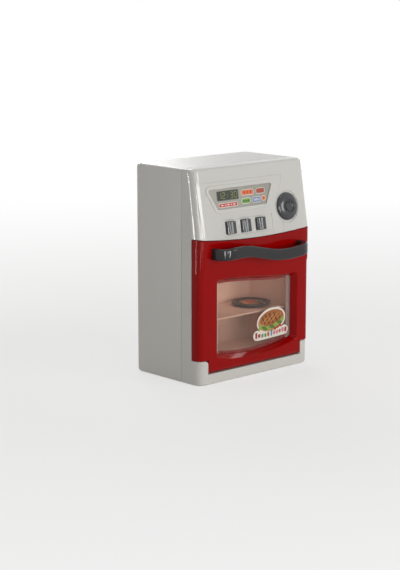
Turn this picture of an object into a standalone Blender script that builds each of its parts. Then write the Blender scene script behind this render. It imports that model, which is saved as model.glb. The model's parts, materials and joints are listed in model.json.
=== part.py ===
"""Toy oven with a drop-down door, modelled piece by piece.

Metres, +Z up. The front faces -Y, +X is to the viewer's right, and the origin
is at the middle of the bounding box's underside.
"""
from math import atan2, cos, pi, radians, sin, sqrt, tan

import bmesh
import bpy
from mathutils import Vector

MM = 0.001

# Whole body; its width follows from the cavity and what stands beside it
BODY_DEPTH = 91 * MM
BODY_HEIGHT = 202 * MM
WALL = 2 * MM
PART_GAP = 0.3 * MM
CUT_OVERRUN = 3 * MM
JOIN_DEPTH = 1 * MM
MERGE_DISTANCE = 0.001 * MM
FRONT_EDGE_RADIUS = 7 * MM
BACK_EDGE_RADIUS = 5 * MM
TOP_EDGE_RADIUS = 3 * MM
FOOT_EDGE_RADIUS = 3 * MM
FRAME_DEPTH = 26 * MM

# Control panel
PANEL_LEAN = radians(10)
PANEL_HEIGHT = 64 * MM
PANEL_EDGE_LEFT_RISE = 0.5 * MM
PANEL_EDGE_MIDDLE_DROP = 4.2 * MM
PANEL_EDGE_RIGHT_DROP = 1.2 * MM

# Door
DOOR_DEPTH = 12 * MM
DOOR_WALL = 1.8 * MM
DOOR_STEP = 1.2 * MM
DOOR_CREASE_DROP = 34 * MM
DOOR_CREASE_HEIGHT = 3 * MM
DOOR_TOP_GAP = 0.6 * MM
DOOR_BACK_GAP = 0.4 * MM
DOOR_EAR_GAP = 0.4 * MM
BARREL_RADIUS = 4 * MM
EAR_WIDTH = 11.8 * MM
TONGUE_WALL = 3 * MM
BASE_TOP_Z = 10.6 * MM
EAR_TOP_Z = 23.75 * MM
EAR_CORNER_RADIUS = 3.5 * MM
EAR_FRONT_RADIUS = 2.5 * MM
HINGE_PIN_RADIUS = 1.25 * MM
HINGE_PIN_IN_DOOR = 8 * MM
HINGE_PIN_IN_EAR = 6 * MM
HINGE_CLEARANCE = 0.3 * MM

# Door window
WINDOW_LEFT_MARGIN = 22.3 * MM
WINDOW_RIGHT_MARGIN = 16.3 * MM
WINDOW_TOP_DROP = 42.1 * MM
WINDOW_TOP_WAVE = 3.1 * MM
WINDOW_WAVE_SHIFT = 5 * MM
WINDOW_WAVE_LENGTH = 170 * MM
WINDOW_FOOT_LEFT_Z = 25.5 * MM
WINDOW_FOOT_MIDDLE_Z = 19 * MM
WINDOW_FOOT_RIGHT_Z = 26 * MM
WINDOW_CORNER_RADIUS = 4 * MM
FUNNEL_DEPTH = 6.5 * MM
FUNNEL_SLOPE = 3.4 * MM
FUNNEL_WALL = 1.6 * MM
PANE_MARGIN = 3 * MM
PANE_THICKNESS = 1.4 * MM
INNER_FRAME_THICKNESS = 1.6 * MM
INNER_FRAME_SEAT = 0.6 * MM
INNER_FRAME_REVEAL = 2.4 * MM
STICKER_THICKNESS = 0.3 * MM
STICKER_WIDTH = 48 * MM
STICKER_HEIGHT = 31 * MM
STICKER_FROM_RIGHT = 30 * MM
STICKER_FROM_FOOT = 26.6 * MM

# Handle
HANDLE_REACH = 18 * MM
HANDLE_SIDE_MARGIN = 14 * MM
HANDLE_HEIGHT = 10.8 * MM
HANDLE_THICKNESS = 6 * MM
HANDLE_EDGE_RADIUS = 1.6 * MM
HANDLE_BEND_RADIUS = 11 * MM
HANDLE_DROP = 17.1 * MM
HANDLE_WAVE = 3.3 * MM
HANDLE_WAVE_SHIFT = -12 * MM
HANDLE_WAVE_LENGTH = 160 * MM

# Display
DISPLAY_LEFT_MARGIN = 15.8 * MM
DISPLAY_RIGHT_MARGIN = 47 * MM
DISPLAY_SLANT = 10 * MM
DISPLAY_FOOT = 25.9 * MM
DISPLAY_HEIGHT = 19.1 * MM
DISPLAY_CORNER_RADIUS = 1.5 * MM
DISPLAY_DEPTH = 0.9 * MM
BEZEL_BORDER = 3.4 * MM
BEZEL_RISE = 0.8 * MM
LABEL_THICKNESS = 0.3 * MM

# Push buttons
BUTTON_COUNT = 3
BUTTON_ROW_SHIFT = 1.5 * MM
BUTTON_SPACING_SHARE = 0.1336
BUTTON_WIDTH_SHARE = 0.554
BUTTON_UP = 8.2 * MM
BUTTON_HEIGHT = 11.5 * MM
BUTTON_RISE = 4.8 * MM
BUTTON_CHAMFER = 1.5 * MM
BUTTON_RIB_WIDTH = 3.2 * MM
BUTTON_RIB_RISE = 0.9 * MM
BUTTON_CLEARANCE = 0.35 * MM
BUTTON_FLANGE = 1.5 * MM
BUTTON_FLANGE_THICKNESS = 1.2 * MM
BUTTON_STEM_WIDTH = 3.2 * MM
BUTTON_STEM_LENGTH = 3.6 * MM
BUTTON_TRAVEL = 1.5 * MM
COLLAR_BORDER = 1.2 * MM
COLLAR_RISE = 0.4 * MM
BUTTON_FIELD_LEFT_SHARE = 0.4
BUTTON_FIELD_RIGHT_SHARE = 0.856
BUTTON_FIELD_FOOT = 0.8 * MM
BUTTON_FIELD_TOP = 15.8 * MM
BUTTON_FIELD_DEPTH = 0.6 * MM
KEY_SPRING_RADIUS = 2.7 * MM
KEY_SPRING_WIRE_RADIUS = 0.25 * MM
KEY_SPRING_TURNS = 3
KEY_HOLLOW_RISE = 0.2 * MM
KEY_HOLLOW_MARGIN = 5 * MM

# Circuit board behind the buttons
BOARD_END_SHARE = 0.6
BOARD_FOOT = 3.6 * MM
BOARD_TOP = 20 * MM
BOARD_THICKNESS = 1.6 * MM
BOARD_POST_SHARE = 0.107
BOARD_POST_UP = 13 * MM
TACT_WIDTH = 6 * MM
TACT_HEIGHT = 3.4 * MM
TACT_PLUNGER_RADIUS = 1.6 * MM
TACT_PLUNGER_HEIGHT = 1 * MM
CHIP_WIDTH = 9 * MM
CHIP_HEIGHT = 1.4 * MM
TACT_CORNER_SHARE = 0.25
TACT_PLUNGER_CORNER_SHARE = 0.6

# Knob
KNOB_SIDE_MARGIN = 29.5 * MM
KNOB_UP = 20.7 * MM
KNOB_RADIUS_SHARE = 0.0918
KNOB_RISE = 3.4 * MM
KNOB_EDGE_RISE = 0.3 * MM
KNOB_CREST_SHARE = 0.48
KNOB_DOME_STEPS = 6
KNOB_GROOVE_WIDTH = 1 * MM
KNOB_GROOVE_DEPTH = 0.9 * MM
KNOB_GROOVE_SLOPE = 0.3 * MM
KNOB_BOSS_RADIUS = 4.9 * MM
KNOB_BOSS_RISE = 3.9 * MM
KNOB_BOSS_RIM = 1 * MM
KNOB_BOSS_DIMPLE = 0.6 * MM
KNOB_SHAFT_RADIUS = 2.7 * MM
KNOB_SHAFT_CLEARANCE = 0.3 * MM
KNOB_SEAT_BORDER = 2.1 * MM
KNOB_SEAT_DEPTH = 0.8 * MM
KNOB_NOTCH_WIDTH = 1.4 * MM
KNOB_NOTCH_DEPTH = 0.7 * MM
KNOB_WASHER_RADIUS = 5.2 * MM
KNOB_WASHER_THICKNESS = 0.8 * MM
KNOB_SCREW_HEAD_SHARE = 1.4

# Oven cavity, shelf and dish
CAVITY_WIDTH = 108 * MM
CAVITY_FLOOR_Z = 18 * MM
CAVITY_TOP_DROP = 13 * MM
CAVITY_BACK_GAP = 5.5 * MM
CAVITY_CORNER_RADIUS = 4 * MM
LINER_WALL = 1.5 * MM
LINER_FLANGE = 5.3 * MM
LEDGE_WIDTH = 2.6 * MM
LEDGE_THICKNESS = 1.5 * MM
SHELF_TOP_Z = 58.5 * MM
SHELF_THICKNESS = 1.2 * MM
SHELF_LIP = 0.4 * MM
DISH_SHARE = 0.3676
DISH_HEIGHT = 3.2 * MM
DISH_RIM = 4 * MM
DISH_FLOOR = 1.2 * MM
DISH_SIDE_GAP = 3.9 * MM
FOOD_SHARE = 0.64
FOOD_THICKNESS = 0.9 * MM

# Lamp above the cavity
LAMP_HOLE_RADIUS = 5 * MM
LAMP_CUP_RADIUS = 6.6 * MM
LAMP_CUP_WALL = 1.2 * MM
LAMP_CUP_HEIGHT = 8 * MM
LAMP_DOME_DROP = 1.2 * MM
LED_RADIUS = 2.5 * MM
LED_HEIGHT = 5.4 * MM
LAMP_BOARD_WIDTH = 16 * MM
LAMP_BOARD_DEPTH = 12 * MM
LAMP_BOARD_THICKNESS = 1.2 * MM

# Speaker on the back wall
SPEAKER_RADIUS = 14 * MM
SPEAKER_DEPTH = 5.4 * MM
SPEAKER_DROP = 37 * MM
SPEAKER_MAGNET_RADIUS = 7 * MM
SPEAKER_RIM_THICKNESS = 1.6 * MM
SPEAKER_RING_WALL = 1.5 * MM
SPEAKER_RING_HEIGHT = 4.4 * MM
CONE_RADIUS = 12.2 * MM
CONE_THICKNESS = 0.5 * MM
GRILLE_RADIUS = 11 * MM
GRILLE_SLOT_WIDTH = 1.8 * MM
GRILLE_PITCH = 4 * MM
GRILLE_SIDE_SLOTS = 2

# Battery box in the back
CELL_RADIUS = 7.1 * MM
CELL_LENGTH = 50.5 * MM
CELL_NUB_RADIUS = 2.6 * MM
CELL_NUB_HEIGHT = 1.2 * MM
CELL_SPACING = 15.2 * MM
CELL_END_ROOM = 9.5 * MM
CELL_SIDE_ROOM = 2.3 * MM
CELL_COVER_GAP = 0.4 * MM
POCKET_WALL = 1.5 * MM
POCKET_Z = 50 * MM
COVER_THICKNESS = 2.4 * MM
COVER_LEDGE = 1.7 * MM
COVER_SCREW_TAB = 8.5 * MM
COVER_BORDER = 2 * MM
CONTACT_THICKNESS = 0.5 * MM
CONTACT_WIDTH = 10 * MM
CELL_SPRING_RADIUS = 3.4 * MM
CELL_SPRING_WIRE_RADIUS = 0.35 * MM
CELL_SPRING_TURNS = 3

# On-off slide switch in the back
SWITCH_SIDE_MARGIN = 21 * MM
SWITCH_Z = 58 * MM
SWITCH_BODY_WIDTH = 13 * MM
SWITCH_BODY_HEIGHT = 7 * MM
SWITCH_BODY_DEPTH = 6 * MM
SWITCH_SLOT_HEIGHT = 4.4 * MM
SWITCH_SLIDER_WIDTH = 3.6 * MM
SWITCH_SLIDER_HEIGHT = 3.4 * MM
SWITCH_SLIDER_RISE = 1 * MM
SWITCH_TRAVEL = 3 * MM

# Screws: case, small and knob sizes share one shape
SCREW_HEAD_RADIUS = 2.2 * MM
SCREW_HEAD_HEIGHT = 1.4 * MM
SCREW_SHANK_RADIUS = 1.1 * MM
SCREW_SOCKET_RADIUS = 1 * MM
SCREW_SOCKET_DEPTH = 0.6 * MM
SCREW_CLEARANCE = 0.3 * MM
CASE_SCREW_LENGTH = 11 * MM
CASE_POST_RADIUS = 4 * MM
CASE_WELL_RADIUS = 2.8 * MM
CASE_POST_SEAT = 2.5 * MM
CASE_POST_INNER_GAP = 0.8 * MM
CASE_POST_OUTER_GAP = 1.4 * MM
CASE_SCREW_LOW_Z = 32 * MM
CASE_SCREW_DROP = 15 * MM
INNER_FRAME_SCREW_MARGIN = 9 * MM
INNER_FRAME_SCREW_LOW_Z = 33 * MM
INNER_FRAME_SCREW_DROP = 40 * MM
INNER_FRAME_POST_RADIUS = 2.6 * MM
HANDLE_SCREW_LENGTH = 9 * MM
COVER_SCREW_LENGTH = 8 * MM
KNOB_SCREW_LENGTH = 5 * MM
BOARD_SCREW_LENGTH = 6 * MM

# Door catch
CATCH_WIDTH = 14 * MM
CATCH_HEIGHT = 6 * MM
CATCH_BASE_THICKNESS = 1.6 * MM
CATCH_NOSE_WIDTH = 8 * MM
CATCH_NOSE_HEIGHT = 2 * MM
CATCH_NOSE_LENGTH = 3.4 * MM
CATCH_SLOT_CLEARANCE = 1.2 * MM

# Counts of the facets on curved faces
CORNER_STEPS = 3
EDGE_STEPS = 3
WAVE_STEPS = 12
SCREW_SIDES = 8
ROUND_SIDES = 24
WIDE_ROUND_SIDES = 36

# Sizes and places that follow from the sizes above
SIDE_ROOM = (LINER_WALL + LINER_FLANGE + CASE_POST_INNER_GAP + 2 * CASE_POST_RADIUS
             + CASE_POST_OUTER_GAP + WALL)
BODY_WIDTH = CAVITY_WIDTH + 2 * SIDE_ROOM
HALF_WIDTH = BODY_WIDTH / 2
CASE_SCREW_X = HALF_WIDTH - WALL - CASE_POST_OUTER_GAP - CASE_POST_RADIUS
CASE_SCREW_HIGH_Z = BODY_HEIGHT - CASE_SCREW_DROP
LINER_SCREW_X = CAVITY_WIDTH / 2 + LINER_WALL + LINER_FLANGE / 2
PANEL_FOOT_Z = BODY_HEIGHT - PANEL_HEIGHT
PANEL_EDGE_LEFT_Z = PANEL_FOOT_Z + PANEL_EDGE_LEFT_RISE
PANEL_EDGE_MIDDLE_Z = PANEL_FOOT_Z - PANEL_EDGE_MIDDLE_DROP
PANEL_EDGE_RIGHT_Z = PANEL_FOOT_Z - PANEL_EDGE_RIGHT_DROP
DOOR_CREASE_Z = PANEL_FOOT_Z - DOOR_CREASE_DROP
TONGUE_WIDTH = BODY_WIDTH - 2 * EAR_WIDTH
WINDOW_WIDTH = BODY_WIDTH - WINDOW_LEFT_MARGIN - WINDOW_RIGHT_MARGIN
WINDOW_X = (WINDOW_LEFT_MARGIN - WINDOW_RIGHT_MARGIN) / 2
WINDOW_TOP_Z = PANEL_FOOT_Z - WINDOW_TOP_DROP
STICKER_X = HALF_WIDTH - WINDOW_RIGHT_MARGIN - STICKER_FROM_RIGHT
STICKER_Z = WINDOW_FOOT_MIDDLE_Z + STICKER_FROM_FOOT
INNER_FRAME_SCREW_X = HALF_WIDTH - INNER_FRAME_SCREW_MARGIN
INNER_FRAME_SCREW_HIGH_Z = PANEL_FOOT_Z - INNER_FRAME_SCREW_DROP
HANDLE_LENGTH = BODY_WIDTH - 2 * HANDLE_SIDE_MARGIN
HANDLE_Z = PANEL_FOOT_Z - HANDLE_DROP
DISPLAY_X = (DISPLAY_LEFT_MARGIN - DISPLAY_RIGHT_MARGIN) / 2
DISPLAY_TOP_WIDTH = BODY_WIDTH - DISPLAY_LEFT_MARGIN - DISPLAY_RIGHT_MARGIN
DISPLAY_FOOT_WIDTH = DISPLAY_TOP_WIDTH - 2 * DISPLAY_SLANT
BUTTON_SPACING = BODY_WIDTH * BUTTON_SPACING_SHARE
BUTTON_WIDTH = BUTTON_SPACING * BUTTON_WIDTH_SHARE
BUTTON_X = DISPLAY_X + BUTTON_ROW_SHIFT - BUTTON_SPACING * (BUTTON_COUNT - 1) / 2
BUTTON_ROW_END_X = BUTTON_X + BUTTON_SPACING * (BUTTON_COUNT - 1)
BUTTON_FIELD_LEFT = BUTTON_X - BUTTON_SPACING * BUTTON_FIELD_LEFT_SHARE
BUTTON_FIELD_RIGHT = BUTTON_ROW_END_X + BUTTON_SPACING * BUTTON_FIELD_RIGHT_SHARE
KEY_HOLLOW_FLOOR_Z = PANEL_FOOT_Z + KEY_HOLLOW_RISE
KEY_HOLLOW_LEFT = BUTTON_FIELD_LEFT - KEY_HOLLOW_MARGIN
KEY_HOLLOW_RIGHT = BUTTON_FIELD_RIGHT + KEY_HOLLOW_MARGIN
BOARD_LEFT = BUTTON_X - BUTTON_SPACING * BOARD_END_SHARE
BOARD_RIGHT = BUTTON_ROW_END_X + BUTTON_SPACING * BOARD_END_SHARE
BOARD_POST_RADIUS = BUTTON_SPACING * BOARD_POST_SHARE
KNOB_X = HALF_WIDTH - KNOB_SIDE_MARGIN
KNOB_RADIUS = BODY_WIDTH * KNOB_RADIUS_SHARE
KNOB_CREST_RADIUS = KNOB_RADIUS * KNOB_CREST_SHARE
KNOB_SEAT_RADIUS = KNOB_RADIUS + KNOB_SEAT_BORDER
FRONT_Y = HANDLE_REACH - (BODY_DEPTH + HANDLE_REACH) / 2
BACK_Y = FRONT_Y + BODY_DEPTH
LOWER_FRONT_Y = FRONT_Y + DOOR_STEP
DOOR_BACK_Y = FRONT_Y + DOOR_DEPTH
FRAME_FACE_Y = DOOR_BACK_Y + DOOR_BACK_GAP
FRAME_WALL_BACK_Y = FRAME_FACE_Y + WALL
SEAM_Y = FRONT_Y + FRAME_DEPTH
HINGE_Y = LOWER_FRONT_Y + BARREL_RADIUS
HINGE_Z = BASE_TOP_Z + HINGE_CLEARANCE + BARREL_RADIUS
PANE_FRONT_Y = LOWER_FRONT_Y + FUNNEL_DEPTH + PART_GAP
INNER_FRAME_FRONT_Y = PANE_FRONT_Y + PANE_THICKNESS + PART_GAP
BOARD_FRONT = (WALL + PART_GAP + BUTTON_FLANGE_THICKNESS + BUTTON_STEM_LENGTH
               + BUTTON_TRAVEL + PART_GAP + TACT_PLUNGER_HEIGHT + TACT_HEIGHT)
CAVITY_TOP_Z = PANEL_FOOT_Z - CAVITY_TOP_DROP
LINER_SCREW_Z = (CAVITY_FLOOR_Z + CAVITY_TOP_Z) / 2
POCKET_WIDTH = CELL_LENGTH + CELL_END_ROOM
POCKET_HEIGHT = 2 * CELL_RADIUS + CELL_SPACING + 2 * CELL_SIDE_ROOM
POCKET_DEPTH = 2 * CELL_RADIUS + COVER_THICKNESS + 2 * PART_GAP + CELL_COVER_GAP
CAVITY_BACK_WALL_Y = BACK_Y - POCKET_DEPTH - POCKET_WALL - LINER_WALL - CAVITY_BACK_GAP
CAVITY_MIDDLE_Y = (FRAME_FACE_Y + CAVITY_BACK_WALL_Y) / 2
DISH_RADIUS = (CAVITY_BACK_WALL_Y - FRAME_FACE_Y) * DISH_SHARE
DISH_X = CAVITY_WIDTH / 2 - DISH_RADIUS - DISH_SIDE_GAP
FOOD_RADIUS = DISH_RADIUS * FOOD_SHARE
SPEAKER_Z = BODY_HEIGHT - SPEAKER_DROP
SWITCH_X = SWITCH_SIDE_MARGIN - HALF_WIDTH
CATCH_FOOT_Z = CAVITY_TOP_Z + 2 * LINER_WALL + PART_GAP
CATCH_NOSE_Z = CATCH_FOOT_Z + PART_GAP + CATCH_NOSE_HEIGHT / 2
COVER_FACE_Y = BACK_Y - COVER_THICKNESS - PART_GAP
POCKET_FLOOR_Y = BACK_Y - POCKET_DEPTH
COVER_RIGHT = POCKET_WIDTH / 2 + COVER_SCREW_TAB
COVER_LEFT = -POCKET_WIDTH / 2 - COVER_LEDGE
COVER_SCREW_X = (POCKET_WIDTH / 2 + COVER_RIGHT) / 2

COLOURS = {
    "white_plastic": ((0.80, 0.79, 0.76, 1), 0.32, 0),
    "red_plastic": ((0.45, 0.006, 0.008, 1), 0.14, 0),
    "grey_plastic": ((0.075, 0.076, 0.082, 1), 0.3, 0),
    "liner_plastic": ((0.56, 0.47, 0.42, 1), 0.45, 0),
    "clear_plastic": ((0.85, 0.80, 0.78, 0.3), 0.06, 0),
    "printed_film": ((0.45, 0.46, 0.44, 1), 0.4, 0),
    "dish_plastic": ((0.10, 0.06, 0.05, 1), 0.35, 0),
    "food_card": ((0.75, 0.25, 0.06, 1), 0.5, 0),
    "steel": ((0.62, 0.62, 0.63, 1), 0.3, 1),
    "board_green": ((0.03, 0.22, 0.09, 1), 0.4, 0),
    "black_plastic": ((0.02, 0.02, 0.022, 1), 0.45, 0),
    "cell_sleeve": ((0.05, 0.10, 0.30, 1), 0.3, 0),
    "wire_red": ((0.55, 0.02, 0.02, 1), 0.4, 0),
    "paper_black": ((0.03, 0.03, 0.03, 1), 0.8, 0),
}


def finish_material(name):
    """The Principled material of one finish, made once."""
    if name in bpy.data.materials:
        return bpy.data.materials[name]
    colour, roughness, metallic = COLOURS[name]
    made = bpy.data.materials.new(name)
    made.use_nodes = True
    shader = made.node_tree.nodes["Principled BSDF"]
    shader.inputs["Base Color"].default_value = colour
    shader.inputs["Alpha"].default_value = colour[3]
    shader.inputs["Roughness"].default_value = roughness
    shader.inputs["Metallic"].default_value = metallic
    made.diffuse_color = colour
    return made


def guide(name, place, turn=0.0):
    """An empty that carries pieces; turn is about X."""
    empty = bpy.data.objects.new(name, None)
    empty.location = place
    empty.rotation_euler = (turn, 0, 0)
    bpy.context.scene.collection.objects.link(empty)
    bpy.context.view_layer.update()
    return empty


def piece(name, bm, finish=None, parent=None, place=(0, 0, 0), keep_world=False, smooth=False):
    """An object from a bmesh; without a finish it is a tool that only cuts or joins."""
    bmesh.ops.remove_doubles(bm, verts=bm.verts, dist=MERGE_DISTANCE)
    bmesh.ops.recalc_face_normals(bm, faces=bm.faces)
    mesh = bpy.data.meshes.new(name)
    bm.to_mesh(mesh)
    bm.free()
    if smooth:
        mesh.shade_smooth()
        mesh.set_sharp_from_angle(angle=radians(35))
    made = bpy.data.objects.new(name, mesh)
    made.location = place
    bpy.context.scene.collection.objects.link(made)
    if parent is not None:
        made.parent = parent
        if keep_world:
            made.matrix_parent_inverse = parent.matrix_world.inverted()
    if finish is None:
        made.hide_render = True
        made.display_type = "WIRE"
        made.hide_set(True)
    else:
        mesh.materials.append(finish_material(finish))
    return made


def shape_with(target, tool, operation):
    """A live Boolean on the target."""
    modifier = target.modifiers.new(operation.lower() + "_" + tool.name, "BOOLEAN")
    modifier.operation = operation
    modifier.object = tool
    modifier.solver = "EXACT"


def set_point(plane, a, b, c):
    """A point of an outline (a, b) at height c along the plane's normal."""
    if plane == "xz":
        return (a, c, b)
    if plane == "xy":
        return (a, b, c)
    return (c, a, b)


def add_prism(bm, outline, plane, low, high):
    """An outline extruded from low to high along the plane's normal."""
    corners = [bm.verts.new(set_point(plane, a, b, low)) for a, b in outline]
    base = bm.faces.new(corners)
    grown = bmesh.ops.extrude_face_region(bm, geom=[base])["geom"]
    moved = [item for item in grown if isinstance(item, bmesh.types.BMVert)]
    bmesh.ops.translate(bm, verts=moved, vec=set_point(plane, 0, 0, high - low))


def prism(name, outline, plane, low, high, **settings):
    """One prism as an object."""
    bm = bmesh.new()
    add_prism(bm, outline, plane, low, high)
    return piece(name, bm, **settings)


def add_rings(bm, rings, strips=False):
    """A closed skin over rings of equal count; strips caps the last ring in upright strips."""
    rows = [[bm.verts.new(point) for point in ring] for ring in rings]
    count = len(rows[0])
    for lower, upper in zip(rows, rows[1:]):
        for index in range(count):
            after = (index + 1) % count
            bm.faces.new((lower[index], lower[after], upper[after], upper[index]))
    bm.faces.new(rows[0])
    if strips:
        for index in range(count // 2 - 1):
            mate = count - 1 - index
            bm.faces.new((rows[-1][index], rows[-1][index + 1], rows[-1][mate - 1], rows[-1][mate]))
    else:
        bm.faces.new(rows[-1])


def loft(name, rings, strips=False, **settings):
    """One ringed skin as an object."""
    bm = bmesh.new()
    add_rings(bm, rings, strips)
    return piece(name, bm, **settings)


def add_turned(bm, profile, sides, place=(0, 0, 0), along=(0, 0, 1)):
    """A profile of (radius, height) turned about an axis through place."""
    along = Vector(along).normalized()
    across = along.orthogonal().normalized()
    verts = [bm.verts.new(Vector(place) + across * radius + along * height)
             for radius, height in profile]
    edges = [bm.edges.new(pair) for pair in zip(verts, verts[1:])]
    if profile[0][0] > 0:
        edges.append(bm.edges.new((verts[-1], verts[0])))
    bmesh.ops.spin(bm, geom=verts + edges, cent=place, axis=along, angle=2 * pi,
                   steps=sides, use_merge=True)
    bmesh.ops.remove_doubles(bm, verts=bm.verts, dist=MERGE_DISTANCE)


def turned(name, profile, sides, place=(0, 0, 0), along=(0, 0, 1), **settings):
    """One turned body as an object."""
    bm = bmesh.new()
    add_turned(bm, profile, sides, place, along)
    return piece(name, bm, smooth=True, **settings)


def add_box(bm, low, high):
    """A box between two corners."""
    outline = [(low[0], low[1]), (high[0], low[1]), (high[0], high[1]), (low[0], high[1])]
    add_prism(bm, outline, "xy", low[2], high[2])


def box(name, low, high, **settings):
    """One box as an object."""
    bm = bmesh.new()
    add_box(bm, low, high)
    return piece(name, bm, **settings)


def rod_profile(radius, low, high):
    """The profile of a plain round rod."""
    return [(0, low), (radius, low), (radius, high), (0, high)]


def screw_profile(length):
    """A pan-head screw: the head's seat is at height zero and the shank runs along the axis."""
    return [(0, SCREW_SOCKET_DEPTH - SCREW_HEAD_HEIGHT), (SCREW_SOCKET_RADIUS, -SCREW_HEAD_HEIGHT),
            (SCREW_HEAD_RADIUS, -SCREW_HEAD_HEIGHT / 2), (SCREW_HEAD_RADIUS, 0),
            (SCREW_SHANK_RADIUS, 0), (SCREW_SHANK_RADIUS, length), (0, length)]


def screws(name, places, along, length, **settings):
    """Identical screws, each its own piece, numbered where there is more than one."""
    for index, place in enumerate(places):
        label = name if len(places) == 1 else "%s_%d" % (name, index + 1)
        turned(label, screw_profile(length), SCREW_SIDES, place, along, finish="steel", **settings)


def fillet(corners, radius, steps=CORNER_STEPS):
    """Rounds the corners of a closed outline; radius may be one value for each corner."""
    rounded = []
    count = len(corners)
    radii = radius if isinstance(radius, (list, tuple)) else [radius] * count
    for index, corner in enumerate(corners):
        point = Vector(corner)
        back = Vector(corners[index - 1]) - point
        ahead = Vector(corners[(index + 1) % count]) - point
        if radii[index] == 0:
            rounded.append(tuple(point))
            continue
        half = back.angle(ahead) / 2
        reach = min(radii[index] / tan(half), back.length / 2, ahead.length / 2)
        size = reach * tan(half)
        centre = point + (back.normalized() + ahead.normalized()).normalized() * size / sin(half)
        first = point + back.normalized() * reach - centre
        last = point + ahead.normalized() * reach - centre
        start = atan2(first.y, first.x)
        sweep = (atan2(last.y, last.x) - start + pi) % (2 * pi) - pi
        for step in range(steps + 1):
            angle = start + sweep * step / steps
            rounded.append((centre.x + size * cos(angle), centre.y + size * sin(angle)))
    return rounded


def rectangle(left, right, foot, top):
    """The corners of an upright rectangle."""
    return [(left, foot), (right, foot), (right, top), (left, top)]


def through_three(x, half, left, middle, right):
    """The parabola through heights at -half, zero and +half."""
    share = x / half
    return middle + (right - left) / 2 * share + ((left + right) / 2 - middle) * share ** 2


def panel_edge_z(x):
    """The control panel's curved lower edge."""
    return through_three(x, HALF_WIDTH, PANEL_EDGE_LEFT_Z, PANEL_EDGE_MIDDLE_Z, PANEL_EDGE_RIGHT_Z)


def handle_z(x):
    """The middle of the wavy handle."""
    return HANDLE_Z - HANDLE_WAVE * sin(2 * pi * (x - HANDLE_WAVE_SHIFT) / HANDLE_WAVE_LENGTH)


def panel_front_y(z):
    """The leaning front of the control panel."""
    return FRONT_Y + max(0, z - PANEL_FOOT_Z) * tan(PANEL_LEAN)


def body_ring(z, half_width, front_y, back_y, front_radius, back_radius):
    """A level section of the casing with rounded upright edges."""
    corners = rectangle(-half_width, half_width, front_y, back_y)
    radii = [front_radius, front_radius, back_radius, back_radius]
    return [(x, y, z) for x, y in fillet(corners, radii)]


def edge_insets(radius):
    """Inset and depth pairs of a rounded edge, from the flat face to the side wall."""
    for step in range(EDGE_STEPS + 1):
        angle = pi / 2 * step / EDGE_STEPS
        yield radius * (1 - sin(angle)), radius * (1 - cos(angle))


def frame_rings():
    """Level sections of the front frame, from the underside to the top."""
    rings = []
    for inset, rise in edge_insets(FOOT_EDGE_RADIUS):
        rings.append((rise, inset, LOWER_FRONT_Y + inset))
    rings.append((EAR_TOP_Z + DOOR_CREASE_HEIGHT, 0, LOWER_FRONT_Y))
    rings.append((DOOR_CREASE_Z, 0, FRONT_Y))
    rings.append((PANEL_FOOT_Z, 0, FRONT_Y))
    for inset, drop in reversed(list(edge_insets(TOP_EDGE_RADIUS))):
        z = BODY_HEIGHT - drop
        rings.append((z, inset, panel_front_y(z) + inset))
    return [body_ring(z, HALF_WIDTH - inset, front, SEAM_Y - PART_GAP / 2, FRONT_EDGE_RADIUS, 0)
            for z, inset, front in rings]


def door_recess_outline():
    """The space of the door in front view: the ears, the base and the panel's lower edge."""
    side = HALF_WIDTH + CUT_OVERRUN
    ear = TONGUE_WIDTH / 2 + DOOR_EAR_GAP
    foot = [(-side, EAR_TOP_Z), (-ear, EAR_TOP_Z), (-ear, BASE_TOP_Z),
            (ear, BASE_TOP_Z), (ear, EAR_TOP_Z), (side, EAR_TOP_Z)]
    radii = [0, EAR_CORNER_RADIUS, 0, 0, EAR_CORNER_RADIUS, 0]
    top = [(side - 2 * side * step / WAVE_STEPS, panel_edge_z(side - 2 * side * step / WAVE_STEPS))
           for step in range(WAVE_STEPS + 1)]
    return fillet(foot + top, radii + [0] * len(top))


def ear_front_outline():
    """What rounds the ears' upper front edge, in side view."""
    outline = [(LOWER_FRONT_Y - CUT_OVERRUN, EAR_TOP_Z - EAR_FRONT_RADIUS)]
    for step in range(EDGE_STEPS + 1):
        angle = pi / 2 * step / EDGE_STEPS
        outline.append((LOWER_FRONT_Y + EAR_FRONT_RADIUS * (1 - cos(angle)),
                        EAR_TOP_Z - EAR_FRONT_RADIUS * (1 - sin(angle))))
    outline.append((LOWER_FRONT_Y + EAR_FRONT_RADIUS, EAR_TOP_Z + CUT_OVERRUN))
    outline.append((LOWER_FRONT_Y - CUT_OVERRUN, EAR_TOP_Z + CUT_OVERRUN))
    return outline


def display_corners(border):
    """The display's trapezoid, grown by a border, on the panel's own plane."""
    slant = (DISPLAY_TOP_WIDTH - DISPLAY_FOOT_WIDTH) / 2 / DISPLAY_HEIGHT
    side = border * sqrt(1 + slant ** 2)
    foot, top = DISPLAY_FOOT - border, DISPLAY_FOOT + DISPLAY_HEIGHT + border
    foot_half = DISPLAY_FOOT_WIDTH / 2 + side - border * slant
    top_half = DISPLAY_TOP_WIDTH / 2 + side + border * slant
    return [(DISPLAY_X - foot_half, foot), (DISPLAY_X + foot_half, foot),
            (DISPLAY_X + top_half, top), (DISPLAY_X - top_half, top)]


def button_places():
    """The middles of the push buttons on the panel's plane."""
    return [(BUTTON_X + BUTTON_SPACING * index, BUTTON_UP) for index in range(BUTTON_COUNT)]


def around(centre, width, height):
    """A rectangle about a centre."""
    return rectangle(centre[0] - width / 2, centre[0] + width / 2,
                     centre[1] - height / 2, centre[1] + height / 2)


def board_post_places():
    """The board's posts stand between neighbouring buttons."""
    return [(BUTTON_X + BUTTON_SPACING * (index + 0.5), BOARD_POST_UP)
            for index in range(BUTTON_COUNT - 1)]


def case_screw_places():
    """The four case screws in front view."""
    return [(side * CASE_SCREW_X, z) for side in (-1, 1)
            for z in (CASE_SCREW_LOW_Z, CASE_SCREW_HIGH_Z)]


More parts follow.
